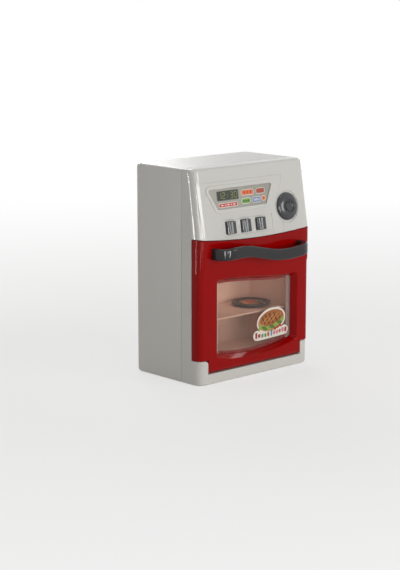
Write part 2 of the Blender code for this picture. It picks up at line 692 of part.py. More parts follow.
def liner_screw_places():
    """The two screws of the cavity's flange in front view."""
    return [(side * LINER_SCREW_X, LINER_SCREW_Z) for side in (-1, 1)]


def make_front_frame(panel):
    """White front frame: control panel, ears, base and the wall round the cavity's mouth."""
    frame = loft("front_frame", frame_rings(), finish="white_plastic")
    shape_with(frame, prism("door_recess", door_recess_outline(), "xz",
                            FRONT_Y - CUT_OVERRUN, FRAME_FACE_Y), "DIFFERENCE")
    shape_with(frame, prism("ear_rounding", ear_front_outline(), "yz",
                            -HALF_WIDTH - CUT_OVERRUN, HALF_WIDTH + CUT_OVERRUN), "DIFFERENCE")
    hollow_frame(frame)
    shape_panel(frame, panel)
    post_frame(frame, panel)


def hollow_frame(frame):
    """Takes out the frame's inside, open to the back."""
    inner_half = HALF_WIDTH - WALL
    back_room = prism("frame_room", rectangle(-inner_half, inner_half, WALL, BODY_HEIGHT - WALL),
                      "xz", FRAME_WALL_BACK_Y, SEAM_Y + CUT_OVERRUN)
    shape_with(frame, back_room, "DIFFERENCE")
    floor = PANEL_EDGE_LEFT_Z + WALL
    ceiling = BODY_HEIGHT - WALL - JOIN_DEPTH / 2
    rings = [body_ring(z, inner_half - JOIN_DEPTH / 2, panel_front_y(z) + WALL / cos(PANEL_LEAN),
                       FRAME_WALL_BACK_Y + JOIN_DEPTH, FRONT_EDGE_RADIUS - WALL, 0)
             for z in (floor, ceiling)]
    shape_with(frame, loft("panel_room", rings), "DIFFERENCE")
    bm = bmesh.new()
    add_box(bm, (KEY_HOLLOW_LEFT, FRONT_Y + WALL, KEY_HOLLOW_FLOOR_Z),
            (KEY_HOLLOW_RIGHT, FRAME_WALL_BACK_Y + JOIN_DEPTH, floor + JOIN_DEPTH))
    base_half = TONGUE_WIDTH / 2 - WALL
    add_box(bm, (-base_half, LOWER_FRONT_Y + WALL, WALL + JOIN_DEPTH / 2),
            (base_half, FRAME_WALL_BACK_Y + JOIN_DEPTH, BASE_TOP_Z - WALL))
    shape_with(frame, piece("key_and_base_rooms", bm), "DIFFERENCE")
    mouth = fillet(rectangle(-CAVITY_WIDTH / 2, CAVITY_WIDTH / 2, CAVITY_FLOOR_Z, CAVITY_TOP_Z),
                   CAVITY_CORNER_RADIUS)
    bm = bmesh.new()
    add_prism(bm, mouth, "xz", FRAME_FACE_Y - CUT_OVERRUN, FRAME_WALL_BACK_Y + JOIN_DEPTH)
    hole = SCREW_SHANK_RADIUS + SCREW_CLEARANCE
    for x, z in liner_screw_places():
        add_turned(bm, rod_profile(hole, 0, WALL + 2 * JOIN_DEPTH), SCREW_SIDES,
                   (x, FRAME_FACE_Y - JOIN_DEPTH, z), (0, 1, 0))
    catch = around((0, CATCH_NOSE_Z), CATCH_NOSE_WIDTH + 2 * PART_GAP, CATCH_NOSE_HEIGHT + 2 * PART_GAP)
    add_prism(bm, catch, "xz", FRAME_FACE_Y - JOIN_DEPTH, FRAME_WALL_BACK_Y + JOIN_DEPTH)
    pin_hole = HINGE_PIN_RADIUS + HINGE_CLEARANCE
    inner = TONGUE_WIDTH / 2 + DOOR_EAR_GAP - JOIN_DEPTH
    for side in (-1, 1):
        add_turned(bm, rod_profile(pin_hole, 0, JOIN_DEPTH + HINGE_PIN_IN_EAR + HINGE_CLEARANCE),
                   ROUND_SIDES // 2, (side * inner, HINGE_Y, HINGE_Z), (side, 0, 0))
    shape_with(frame, piece("mouth_and_holes", bm), "DIFFERENCE")


def shape_panel(frame, panel):
    """Bezel, display recess, button field, collars and knob seat on the leaning panel."""
    bezel = fillet(display_corners(BEZEL_BORDER), DISPLAY_CORNER_RADIUS + BEZEL_BORDER)
    shape_with(frame, prism("display_bezel", bezel, "xz", -BEZEL_RISE, JOIN_DEPTH,
                            parent=panel), "UNION")
    bm = bmesh.new()
    add_prism(bm, fillet(display_corners(0), DISPLAY_CORNER_RADIUS), "xz",
              -BEZEL_RISE - CUT_OVERRUN, DISPLAY_DEPTH)
    field = rectangle(BUTTON_FIELD_LEFT, BUTTON_FIELD_RIGHT, BUTTON_FIELD_FOOT, BUTTON_FIELD_TOP)
    add_prism(bm, field, "xz", -CUT_OVERRUN, BUTTON_FIELD_DEPTH)
    add_turned(bm, rod_profile(KNOB_SEAT_RADIUS, -CUT_OVERRUN, KNOB_SEAT_DEPTH), WIDE_ROUND_SIDES,
               (KNOB_X, 0, KNOB_UP), (0, 1, 0))
    shape_with(frame, piece("panel_recesses", bm, parent=panel), "DIFFERENCE")
    bm = bmesh.new()
    grown = 2 * (BUTTON_CLEARANCE + COLLAR_BORDER)
    for centre in button_places():
        add_prism(bm, fillet(around(centre, BUTTON_WIDTH + grown, BUTTON_HEIGHT + grown),
                             COLLAR_BORDER), "xz", BUTTON_FIELD_DEPTH - COLLAR_RISE, JOIN_DEPTH)
    shape_with(frame, piece("button_collars", bm, parent=panel), "UNION")
    bm = bmesh.new()
    grown = 2 * BUTTON_CLEARANCE
    for centre in button_places():
        add_prism(bm, around(centre, BUTTON_WIDTH + grown, BUTTON_HEIGHT + grown),
                  "xz", -CUT_OVERRUN, WALL + JOIN_DEPTH)
    add_turned(bm, rod_profile(KNOB_SHAFT_RADIUS + KNOB_SHAFT_CLEARANCE, -CUT_OVERRUN,
                               WALL + JOIN_DEPTH), ROUND_SIDES // 2,
               (KNOB_X, 0, KNOB_UP), (0, 1, 0))
    shape_with(frame, piece("panel_openings", bm, parent=panel), "DIFFERENCE")


def post_frame(frame, panel):
    """Screw posts of the case and of the circuit board."""
    bm = bmesh.new()
    for x, z in case_screw_places():
        wall_y = panel_front_y(z) if z > PANEL_FOOT_Z else FRAME_FACE_Y
        start = wall_y + JOIN_DEPTH
        add_turned(bm, rod_profile(CASE_POST_RADIUS, start, SEAM_Y - PART_GAP / 2),
                   ROUND_SIDES // 2, (x, 0, z), (0, 1, 0))
    shape_with(frame, piece("frame_posts", bm), "UNION")
    bm = bmesh.new()
    for x, up in board_post_places():
        add_turned(bm, rod_profile(BOARD_POST_RADIUS, JOIN_DEPTH, BOARD_FRONT - PART_GAP),
                   SCREW_SIDES, (x, 0, up), (0, 1, 0))
    shape_with(frame, piece("board_posts", bm, parent=panel), "UNION")
    hole = SCREW_SHANK_RADIUS + SCREW_CLEARANCE
    bm = bmesh.new()
    for x, z in case_screw_places():
        add_turned(bm, rod_profile(hole, -CASE_SCREW_LENGTH, CUT_OVERRUN), SCREW_SIDES,
                   (x, SEAM_Y - PART_GAP / 2, z), (0, 1, 0))
    shape_with(frame, piece("frame_pilot_holes", bm), "DIFFERENCE")
    bm = bmesh.new()
    for x, up in board_post_places():
        add_turned(bm, rod_profile(hole, -BOARD_SCREW_LENGTH, CUT_OVERRUN), SCREW_SIDES,
                   (x, BOARD_FRONT - PART_GAP, up), (0, 1, 0))
    shape_with(frame, piece("board_pilot_holes", bm, parent=panel), "DIFFERENCE")


def make_rear_housing():
    """White rear housing: open to the front, with the battery pocket and the screw wells."""
    rings = []
    for inset, rise in edge_insets(FOOT_EDGE_RADIUS):
        rings.append((rise, inset))
    for inset, drop in reversed(list(edge_insets(TOP_EDGE_RADIUS))):
        rings.append((BODY_HEIGHT - drop, inset))
    housing = loft("rear_housing",
                   [body_ring(z, HALF_WIDTH - inset, SEAM_Y + PART_GAP / 2, BACK_Y - inset, 0,
                              BACK_EDGE_RADIUS) for z, inset in rings], finish="white_plastic")
    inner_half = HALF_WIDTH - WALL
    room = [body_ring(z, inner_half, SEAM_Y - CUT_OVERRUN, BACK_Y - WALL, 0,
                      BACK_EDGE_RADIUS - WALL) for z in (WALL, BODY_HEIGHT - WALL)]
    shape_with(housing, loft("housing_room", room), "DIFFERENCE")
    block_half = POCKET_HEIGHT / 2 + COVER_LEDGE + COVER_BORDER
    bm = bmesh.new()
    add_box(bm, (COVER_LEFT - COVER_BORDER, POCKET_FLOOR_Y - POCKET_WALL, POCKET_Z - block_half),
            (COVER_RIGHT + COVER_BORDER, BACK_Y - WALL + JOIN_DEPTH, POCKET_Z + block_half))
    for x, z in case_screw_places():
        add_turned(bm, rod_profile(CASE_POST_RADIUS, SEAM_Y + PART_GAP / 2,
                                   BACK_Y - WALL + JOIN_DEPTH),
                   ROUND_SIDES // 2, (x, 0, z), (0, 1, 0))
    ring_low = BACK_Y - WALL - SPEAKER_RING_HEIGHT
    ring_inner = SPEAKER_RADIUS + PART_GAP
    ring_outer = ring_inner + SPEAKER_RING_WALL
    ring_high = BACK_Y - WALL + JOIN_DEPTH
    add_turned(bm, [(ring_inner, ring_low), (ring_outer, ring_low), (ring_outer, ring_high),
                    (ring_inner, ring_high)], ROUND_SIDES, (0, 0, SPEAKER_Z), (0, 1, 0))
    shape_with(housing, piece("housing_posts", bm), "UNION")
    bm = bmesh.new()
    hole = SCREW_SHANK_RADIUS + SCREW_CLEARANCE
    seat = SEAM_Y + PART_GAP / 2 + CASE_POST_SEAT
    for x, z in case_screw_places():
        add_turned(bm, [(0, SEAM_Y - CUT_OVERRUN), (hole, SEAM_Y - CUT_OVERRUN), (hole, seat),
                        (CASE_WELL_RADIUS, seat), (CASE_WELL_RADIUS, BACK_Y + CUT_OVERRUN),
                        (0, BACK_Y + CUT_OVERRUN)], ROUND_SIDES // 2, (x, 0, z), (0, 1, 0))
    pocket_half = POCKET_HEIGHT / 2
    add_box(bm, (-POCKET_WIDTH / 2, POCKET_FLOOR_Y, POCKET_Z - pocket_half),
            (POCKET_WIDTH / 2, BACK_Y + CUT_OVERRUN, POCKET_Z + pocket_half))
    add_turned(bm, rod_profile(hole, COVER_FACE_Y - COVER_SCREW_LENGTH, BACK_Y + CUT_OVERRUN),
               SCREW_SIDES, (COVER_SCREW_X, 0, POCKET_Z), (0, 1, 0))
    for index in range(-GRILLE_SIDE_SLOTS, GRILLE_SIDE_SLOTS + 1):
        x = GRILLE_PITCH * index
        reach = sqrt(GRILLE_RADIUS ** 2 - x ** 2)
        add_box(bm, (x - GRILLE_SLOT_WIDTH / 2, BACK_Y - WALL - JOIN_DEPTH / 2, SPEAKER_Z - reach),
                (x + GRILLE_SLOT_WIDTH / 2, BACK_Y + CUT_OVERRUN, SPEAKER_Z + reach))
    slot_half = (SWITCH_SLIDER_WIDTH + SWITCH_TRAVEL) / 2 + PART_GAP
    add_box(bm, (SWITCH_X - slot_half, BACK_Y - WALL - JOIN_DEPTH / 2, SWITCH_Z - SWITCH_SLOT_HEIGHT / 2),
            (SWITCH_X + slot_half, BACK_Y + CUT_OVERRUN, SWITCH_Z + SWITCH_SLOT_HEIGHT / 2))
    shape_with(housing, piece("housing_cuts", bm), "DIFFERENCE")
    ledge_half = POCKET_HEIGHT / 2 + COVER_LEDGE
    recess = box("cover_recess", (COVER_LEFT, COVER_FACE_Y, POCKET_Z - ledge_half),
                 (COVER_RIGHT, BACK_Y + CUT_OVERRUN, POCKET_Z + ledge_half))
    shape_with(housing, recess, "DIFFERENCE")


def make_display_label(panel):
    """Printed film in the display recess."""
    outline = fillet(display_corners(-PART_GAP), DISPLAY_CORNER_RADIUS)
    low = DISPLAY_DEPTH - PART_GAP - LABEL_THICKNESS
    prism("display_label", outline, "xz", low, low + LABEL_THICKNESS,
          finish="printed_film", parent=panel)


def button_ring(width, height, depths):
    """A ring about a button: columns from left to right at the foot, then back at the top."""
    shares = (-0.5, -0.5 + BUTTON_CHAMFER / BUTTON_WIDTH, -BUTTON_RIB_WIDTH / 2 / BUTTON_WIDTH,
              BUTTON_RIB_WIDTH / 2 / BUTTON_WIDTH, 0.5 - BUTTON_CHAMFER / BUTTON_WIDTH, 0.5)
    foot = [(share * width, depth, -height / 2) for share, depth in zip(shares, depths)]
    top = [(x, depth, height / 2) for x, depth, _ in reversed(foot)]
    return foot + top


def make_button(number, centre, panel):
    """A push button with a ribbed front, a stop flange and a stem that meets its switch."""
    shoulder = -BUTTON_RISE + BUTTON_RIB_RISE + BUTTON_CHAMFER
    field = -BUTTON_RISE + BUTTON_RIB_RISE
    flange_front = WALL + PART_GAP
    flange_back = flange_front + BUTTON_FLANGE_THICKNESS
    stem_end = flange_back + BUTTON_STEM_LENGTH
    front = (shoulder, field, -BUTTON_RISE, -BUTTON_RISE, field, shoulder)
    wide = BUTTON_WIDTH + 2 * BUTTON_FLANGE
    level_rings = ((BUTTON_STEM_WIDTH, BUTTON_STEM_WIDTH, stem_end),
                   (BUTTON_STEM_WIDTH, BUTTON_STEM_WIDTH, flange_back),
                   (wide, BUTTON_HEIGHT, flange_back), (wide, BUTTON_HEIGHT, flange_front),
                   (BUTTON_WIDTH, BUTTON_HEIGHT, flange_front))
    rings = [button_ring(width, height, [depth for _ in front]) for width, height, depth in level_rings]
    rings.append(button_ring(BUTTON_WIDTH, BUTTON_HEIGHT, front))
    loft("button_%d" % number, rings, strips=True, finish="grey_plastic", parent=panel,
         place=(centre[0], 0, centre[1]))


def coil(name, radius, wire_radius, turns, length, parent, place, turn):
    """A compression spring as one unbroken round wire along its own Z."""
    steps = 8
    curve = bpy.data.curves.new(name, "CURVE")
    curve.dimensions = "3D"
    curve.bevel_depth = wire_radius
    curve.bevel_resolution = 1
    curve.use_fill_caps = True
    spline = curve.splines.new("POLY")
    count = turns * steps + 1
    spline.points.add(count - 1)
    rise = length - 2 * wire_radius
    for index in range(count):
        angle = 2 * pi * index / steps
        spline.points[index].co = (radius * cos(angle), radius * sin(angle),
                                   wire_radius + rise * index / (count - 1), 1)
    made = bpy.data.objects.new(name, curve)
    curve.materials.append(finish_material("steel"))
    made.parent = parent
    made.location = place
    made.rotation_euler = turn
    bpy.context.scene.collection.objects.link(made)
    points = [Vector(point.co[:3]) for point in spline.points]
    least = min((a - b).length for i, a in enumerate(points) for b in points[i + steps // 2:])
    print("%s: least gap to itself %.2f mm" % (name, (least - 2 * wire_radius) / MM))


def make_key_spring(number, centre, panel):
    """The return spring round a button's stem, between its flange and its switch."""
    start = WALL + PART_GAP + BUTTON_FLANGE_THICKNESS + PART_GAP
    end = BOARD_FRONT - TACT_HEIGHT - PART_GAP
    coil("button_spring_%d" % number, KEY_SPRING_RADIUS, KEY_SPRING_WIRE_RADIUS, KEY_SPRING_TURNS,
         end - start, panel, (centre[0], start, centre[1]), (-pi / 2, 0, 0))


def make_circuit_board(panel):
    """Board on two posts, with one switch under each button and a bonded chip."""
    board = prism("circuit_board", rectangle(BOARD_LEFT, BOARD_RIGHT, BOARD_FOOT, BOARD_TOP), "xz",
                  BOARD_FRONT, BOARD_FRONT + BOARD_THICKNESS, finish="board_green", parent=panel)
    bm = bmesh.new()
    for x, up in board_post_places():
        add_turned(bm, rod_profile(SCREW_SHANK_RADIUS + SCREW_CLEARANCE, -JOIN_DEPTH,
                                   BOARD_THICKNESS + JOIN_DEPTH), SCREW_SIDES,
                   (x, BOARD_FRONT, up), (0, 1, 0))
    shape_with(board, piece("board_holes", bm, parent=panel), "DIFFERENCE")
    back = BOARD_FRONT + BOARD_THICKNESS + PART_GAP
    screws("board_screw", [(x, back, up) for x, up in board_post_places()], (0, -1, 0),
           BOARD_SCREW_LENGTH, parent=panel)
    body = BOARD_FRONT - PART_GAP - TACT_HEIGHT
    for index, (x, up) in enumerate(button_places()):
        square = fillet(around((x, up), TACT_WIDTH, TACT_WIDTH), TACT_PLUNGER_RADIUS * TACT_CORNER_SHARE, 1)
        plunger = fillet(around((x, up), 2 * TACT_PLUNGER_RADIUS, 2 * TACT_PLUNGER_RADIUS),
                         TACT_PLUNGER_RADIUS * TACT_PLUNGER_CORNER_SHARE, 1)
        rings = [flat_ring(square, BOARD_FRONT - PART_GAP), flat_ring(square, body),
                 flat_ring(plunger, body), flat_ring(plunger, body - TACT_PLUNGER_HEIGHT)]
        loft("tact_switch_%d" % (index + 1), rings, finish="black_plastic", parent=panel)
    low = BOARD_FRONT + BOARD_THICKNESS + PART_GAP
    prism("sound_chip", around((BUTTON_X, BUTTON_UP + PART_GAP), CHIP_WIDTH, CHIP_WIDTH), "xz",
          low, low + CHIP_HEIGHT, finish="black_plastic", parent=panel)


def make_knob(knob_axis):
    """Low domed dial with a grooved, dimpled boss, its washer and its screw."""
    shaft_end = WALL + PART_GAP + KNOB_WASHER_THICKNESS + PART_GAP
    hole = SCREW_SHANK_RADIUS + SCREW_CLEARANCE
    back = KNOB_SEAT_DEPTH - PART_GAP
    groove = KNOB_GROOVE_DEPTH - KNOB_RISE
    groove_edge = KNOB_CREST_RADIUS - KNOB_GROOVE_SLOPE
    boss_inner = KNOB_BOSS_RADIUS - KNOB_BOSS_RIM
    profile = [(0, KNOB_BOSS_DIMPLE - KNOB_BOSS_RISE), (boss_inner, KNOB_BOSS_DIMPLE - KNOB_BOSS_RISE),
               (KNOB_BOSS_RADIUS - KNOB_GROOVE_SLOPE, -KNOB_BOSS_RISE), (KNOB_BOSS_RADIUS, groove),
               (groove_edge, groove)]
    for step in range(KNOB_DOME_STEPS + 1):
        turn = pi / 2 * step / KNOB_DOME_STEPS
        rise = KNOB_EDGE_RISE + (KNOB_RISE - KNOB_EDGE_RISE) * cos(turn)
        profile.append((KNOB_CREST_RADIUS + (KNOB_RADIUS - KNOB_CREST_RADIUS) * sin(turn), -rise))
    profile += [(KNOB_RADIUS, back), (KNOB_SHAFT_RADIUS, back), (KNOB_SHAFT_RADIUS, shaft_end),
                (hole, shaft_end), (hole, shaft_end - KNOB_SCREW_LENGTH),
                (0, shaft_end - KNOB_SCREW_LENGTH)]
    knob = turned("knob", profile, WIDE_ROUND_SIDES, along=(0, 1, 0), finish="grey_plastic",
                  parent=knob_axis)
    notch_floor = KNOB_NOTCH_DEPTH + KNOB_BOSS_DIMPLE - KNOB_BOSS_RISE
    notch = box("knob_notch", (-KNOB_NOTCH_WIDTH / 2, -KNOB_BOSS_RISE - CUT_OVERRUN, boss_inner / 2),
                (KNOB_NOTCH_WIDTH / 2, notch_floor, KNOB_BOSS_RADIUS), parent=knob_axis)
    shape_with(knob, notch, "DIFFERENCE")
    low = WALL + PART_GAP
    washer = [(KNOB_SHAFT_RADIUS + PART_GAP, low), (KNOB_WASHER_RADIUS, low),
              (KNOB_WASHER_RADIUS, low + KNOB_WASHER_THICKNESS),
              (KNOB_SHAFT_RADIUS + PART_GAP, low + KNOB_WASHER_THICKNESS)]
    turned("knob_washer", washer, ROUND_SIDES // 2, along=(0, 1, 0), finish="steel",
           parent=knob_axis)
    bm = bmesh.new()
    profile = [(radius * KNOB_SCREW_HEAD_SHARE if radius == SCREW_HEAD_RADIUS else radius, height)
               for radius, height in screw_profile(KNOB_SCREW_LENGTH - PART_GAP)]
    add_turned(bm, profile, SCREW_SIDES, (0, shaft_end + PART_GAP, 0), (0, -1, 0))
    piece("knob_screw", bm, finish="steel", parent=knob_axis, smooth=True)


def make_liner():
    """Moulded cavity with a flange behind the frame's wall and two ledges for the shelf."""
    outer_half = CAVITY_WIDTH / 2 + LINER_WALL
    front = FRAME_WALL_BACK_Y + PART_GAP
    outer = fillet(rectangle(-outer_half, outer_half, CAVITY_FLOOR_Z - LINER_WALL,
                             CAVITY_TOP_Z + LINER_WALL), CAVITY_CORNER_RADIUS + LINER_WALL)
    liner = prism("oven_liner", outer, "xz", front, CAVITY_BACK_WALL_Y + LINER_WALL,
                  finish="liner_plastic")
    flange = rectangle(-outer_half - LINER_FLANGE, outer_half + LINER_FLANGE,
                       CAVITY_FLOOR_Z - LINER_WALL - LINER_WALL,
                       CAVITY_TOP_Z + LINER_WALL + LINER_WALL)
    shape_with(liner, prism("liner_flange", flange, "xz", front, front + LINER_WALL), "UNION")
    bm = bmesh.new()
    inner = fillet(rectangle(-CAVITY_WIDTH / 2, CAVITY_WIDTH / 2, CAVITY_FLOOR_Z, CAVITY_TOP_Z),
                   CAVITY_CORNER_RADIUS)
    add_prism(bm, inner, "xz", front - CUT_OVERRUN, CAVITY_BACK_WALL_Y)
    for x, z in liner_screw_places():
        add_turned(bm, rod_profile(SCREW_SHANK_RADIUS + SCREW_CLEARANCE, 0, LINER_WALL + 2 * JOIN_DEPTH),
                   SCREW_SIDES, (x, front - JOIN_DEPTH, z), (0, 1, 0))
    shape_with(liner, piece("liner_room", bm), "DIFFERENCE")
    lamp = turned("lamp_hole", rod_profile(LAMP_HOLE_RADIUS + PART_GAP, CAVITY_TOP_Z - JOIN_DEPTH / 2,
                                           CAVITY_TOP_Z + LINER_WALL + JOIN_DEPTH),
                  ROUND_SIDES, (0, CAVITY_MIDDLE_Y, 0))
    shape_with(liner, lamp, "DIFFERENCE")
    ledge_top = SHELF_TOP_Z - SHELF_THICKNESS - PART_GAP
    bm = bmesh.new()
    for side in (-1, 1):
        edges = sorted((side * (CAVITY_WIDTH / 2 - LEDGE_WIDTH),
                        side * (CAVITY_WIDTH / 2 + LINER_WALL / 2)))
        add_box(bm, (edges[0], front + LINER_WALL, ledge_top - LEDGE_THICKNESS),
                (edges[1], CAVITY_BACK_WALL_Y + LINER_WALL / 2, ledge_top))
    shape_with(liner, piece("shelf_ledges", bm), "UNION")
    back = front + LINER_WALL + PART_GAP
    screws("liner_screw", [(x, back, z) for x, z in liner_screw_places()], (0, -1, 0),
           back - FRAME_FACE_Y - PART_GAP)


def make_shelf():
    """Flat shelf with a thicker front edge, laid on the liner's ledges."""
    half = CAVITY_WIDTH / 2 - PART_GAP
    front = FRAME_FACE_Y + JOIN_DEPTH
    low = SHELF_TOP_Z - SHELF_THICKNESS
    step = front + SHELF_THICKNESS
    outline = [(front, low - SHELF_LIP), (step, low - SHELF_LIP), (step, low),
               (CAVITY_BACK_WALL_Y - PART_GAP, low), (CAVITY_BACK_WALL_Y - PART_GAP, SHELF_TOP_Z),
               (front, SHELF_TOP_Z)]
    prism("oven_shelf", outline, "yz", -half, half, finish="liner_plastic")


def make_dish():
    """Round dish on the shelf with a printed food card."""
    y = CAVITY_MIDDLE_Y
    low = SHELF_TOP_Z + PART_GAP
    floor = low + DISH_FLOOR
    profile = [(0, low), (DISH_RADIUS - DISH_RIM, low), (DISH_RADIUS, low + DISH_HEIGHT - DISH_FLOOR),
               (DISH_RADIUS, low + DISH_HEIGHT), (DISH_RADIUS - DISH_RIM / 4, low + DISH_HEIGHT),
               (DISH_RADIUS - DISH_RIM, floor), (0, floor)]
    turned("dish", profile, WIDE_ROUND_SIDES, (DISH_X, y, 0), finish="dish_plastic")
    turned("food_card", rod_profile(FOOD_RADIUS, floor + PART_GAP, floor + PART_GAP + FOOD_THICKNESS),
           ROUND_SIDES, (DISH_X, y, 0), finish="food_card")


def make_lamp():
    """Lamp over the cavity: clear cup lens, light-emitting diode and its small board."""
    seat = CAVITY_TOP_Z + LINER_WALL + PART_GAP
    top = seat + LAMP_CUP_HEIGHT
    inner = LAMP_CUP_RADIUS - LAMP_CUP_WALL
    drop = CAVITY_TOP_Z - LAMP_DOME_DROP
    profile = [(0, drop), (LAMP_HOLE_RADIUS - LAMP_CUP_WALL, drop), (LAMP_HOLE_RADIUS, CAVITY_TOP_Z),
               (LAMP_HOLE_RADIUS, seat), (LAMP_CUP_RADIUS, seat), (LAMP_CUP_RADIUS, top),
               (inner, top), (inner, seat + LAMP_CUP_WALL), (0, seat + LAMP_CUP_WALL)]
    turned("lamp_lens", profile, ROUND_SIDES, (0, CAVITY_MIDDLE_Y, 0), finish="clear_plastic")
    board = top + PART_GAP
    box("lamp_board", (-LAMP_BOARD_WIDTH / 2, CAVITY_MIDDLE_Y - LAMP_BOARD_DEPTH / 2, board),
        (LAMP_BOARD_WIDTH / 2, CAVITY_MIDDLE_Y + LAMP_BOARD_DEPTH / 2, board + LAMP_BOARD_THICKNESS),
        finish="board_green")
    led = board - PART_GAP
    shoulder = led - LED_HEIGHT + LED_RADIUS
    profile = [(0, led), (LED_RADIUS + PART_GAP, led), (LED_RADIUS + PART_GAP, led - PART_GAP * 3),
               (LED_RADIUS, led - PART_GAP * 3), (LED_RADIUS, shoulder)]
    profile += [(LED_RADIUS * cos(pi / 2 * step / EDGE_STEPS),
                 shoulder - LED_RADIUS * sin(pi / 2 * step / EDGE_STEPS))
                for step in range(1, EDGE_STEPS)] + [(0, led - LED_HEIGHT)]
    turned("lamp_led", profile, ROUND_SIDES // 2, (0, CAVITY_MIDDLE_Y, 0), finish="clear_plastic")


def door_outline(inset):
    """The door in front view, inset by a wall."""
    side = HALF_WIDTH - inset
    tongue = TONGUE_WIDTH / 2 - inset
    ear = EAR_TOP_Z + DOOR_EAR_GAP + inset
    foot = [(-side, ear), (-tongue, ear), (-tongue, 0), (tongue, 0), (tongue, ear), (side, ear)]
    top = []
    for step in range(WAVE_STEPS + 1):
        x = side - 2 * side * step / WAVE_STEPS
        top.append((x, panel_edge_z(x) - DOOR_TOP_GAP - inset))
    return foot + top


def door_rings():
    """Level sections of the door: the hinge barrel, the lower front and the upper front."""
    rings = []
    for step in range(EDGE_STEPS + 1):
        angle = pi / 2 * (0.25 + 0.75 * step / EDGE_STEPS)
        rise = BARREL_RADIUS * (1 - cos(angle))
        front = HINGE_Y - BARREL_RADIUS * sin(angle)
        back = HINGE_Y + (DOOR_BACK_Y - HINGE_Y) * sin(angle)
        rings.append((HINGE_Z - BARREL_RADIUS + rise, front, back))
    rings.append((DOOR_CREASE_Z - DOOR_CREASE_HEIGHT / 2, LOWER_FRONT_Y, DOOR_BACK_Y))
    rings.append((DOOR_CREASE_Z + DOOR_CREASE_HEIGHT / 2, FRONT_Y, DOOR_BACK_Y))
    rings.append((PANEL_EDGE_LEFT_Z + CUT_OVERRUN, FRONT_Y, DOOR_BACK_Y))
    made = []
    for z, front, back in rings:
        radius = min(FRONT_EDGE_RADIUS, (back - front) / 2)
        made.append(body_ring(z, HALF_WIDTH, front, back, radius, 0))
    return made


def window_top_z(x):
    """The window's wavy upper edge."""
    return WINDOW_TOP_Z - WINDOW_TOP_WAVE * sin(2 * pi * (x - WINDOW_WAVE_SHIFT) / WINDOW_WAVE_LENGTH)


def window_outline(inset):
    """The window in front view, inset on all sides."""
    half = WINDOW_WIDTH / 2 - inset
    steps = WAVE_STEPS // 2
    places = [WINDOW_X - half + 2 * half * step / steps for step in range(steps + 1)]
    foot = [(x, inset + through_three(x, WINDOW_WIDTH / 2, WINDOW_FOOT_LEFT_Z,
                                      WINDOW_FOOT_MIDDLE_Z, WINDOW_FOOT_RIGHT_Z)) for x in places]
    top = [(x, window_top_z(x) - inset) for x in reversed(places)]
    radii = [0] * (2 * steps + 2)
    for index in (0, steps, steps + 1, 2 * steps + 1):
        radii[index] = max(WINDOW_CORNER_RADIUS - inset / 2, JOIN_DEPTH)
    return fillet(foot + top, radii)


def flat_ring(outline, y):
    """A front-view outline set at a depth."""
    return [(x, y, z) for x, z in outline]


def handle_foot_places():
    """The middles of the handle's two feet in front view."""
    x = HANDLE_LENGTH / 2 - HANDLE_THICKNESS / 2
    return [(side * x, handle_z(side * x)) for side in (-1, 1)]


def inner_frame_screw_places():
    """The four screws of the door's inner frame in front view."""
    return [(side * INNER_FRAME_SCREW_X, z) for side in (-1, 1)
            for z in (INNER_FRAME_SCREW_LOW_Z, INNER_FRAME_SCREW_HIGH_Z)]


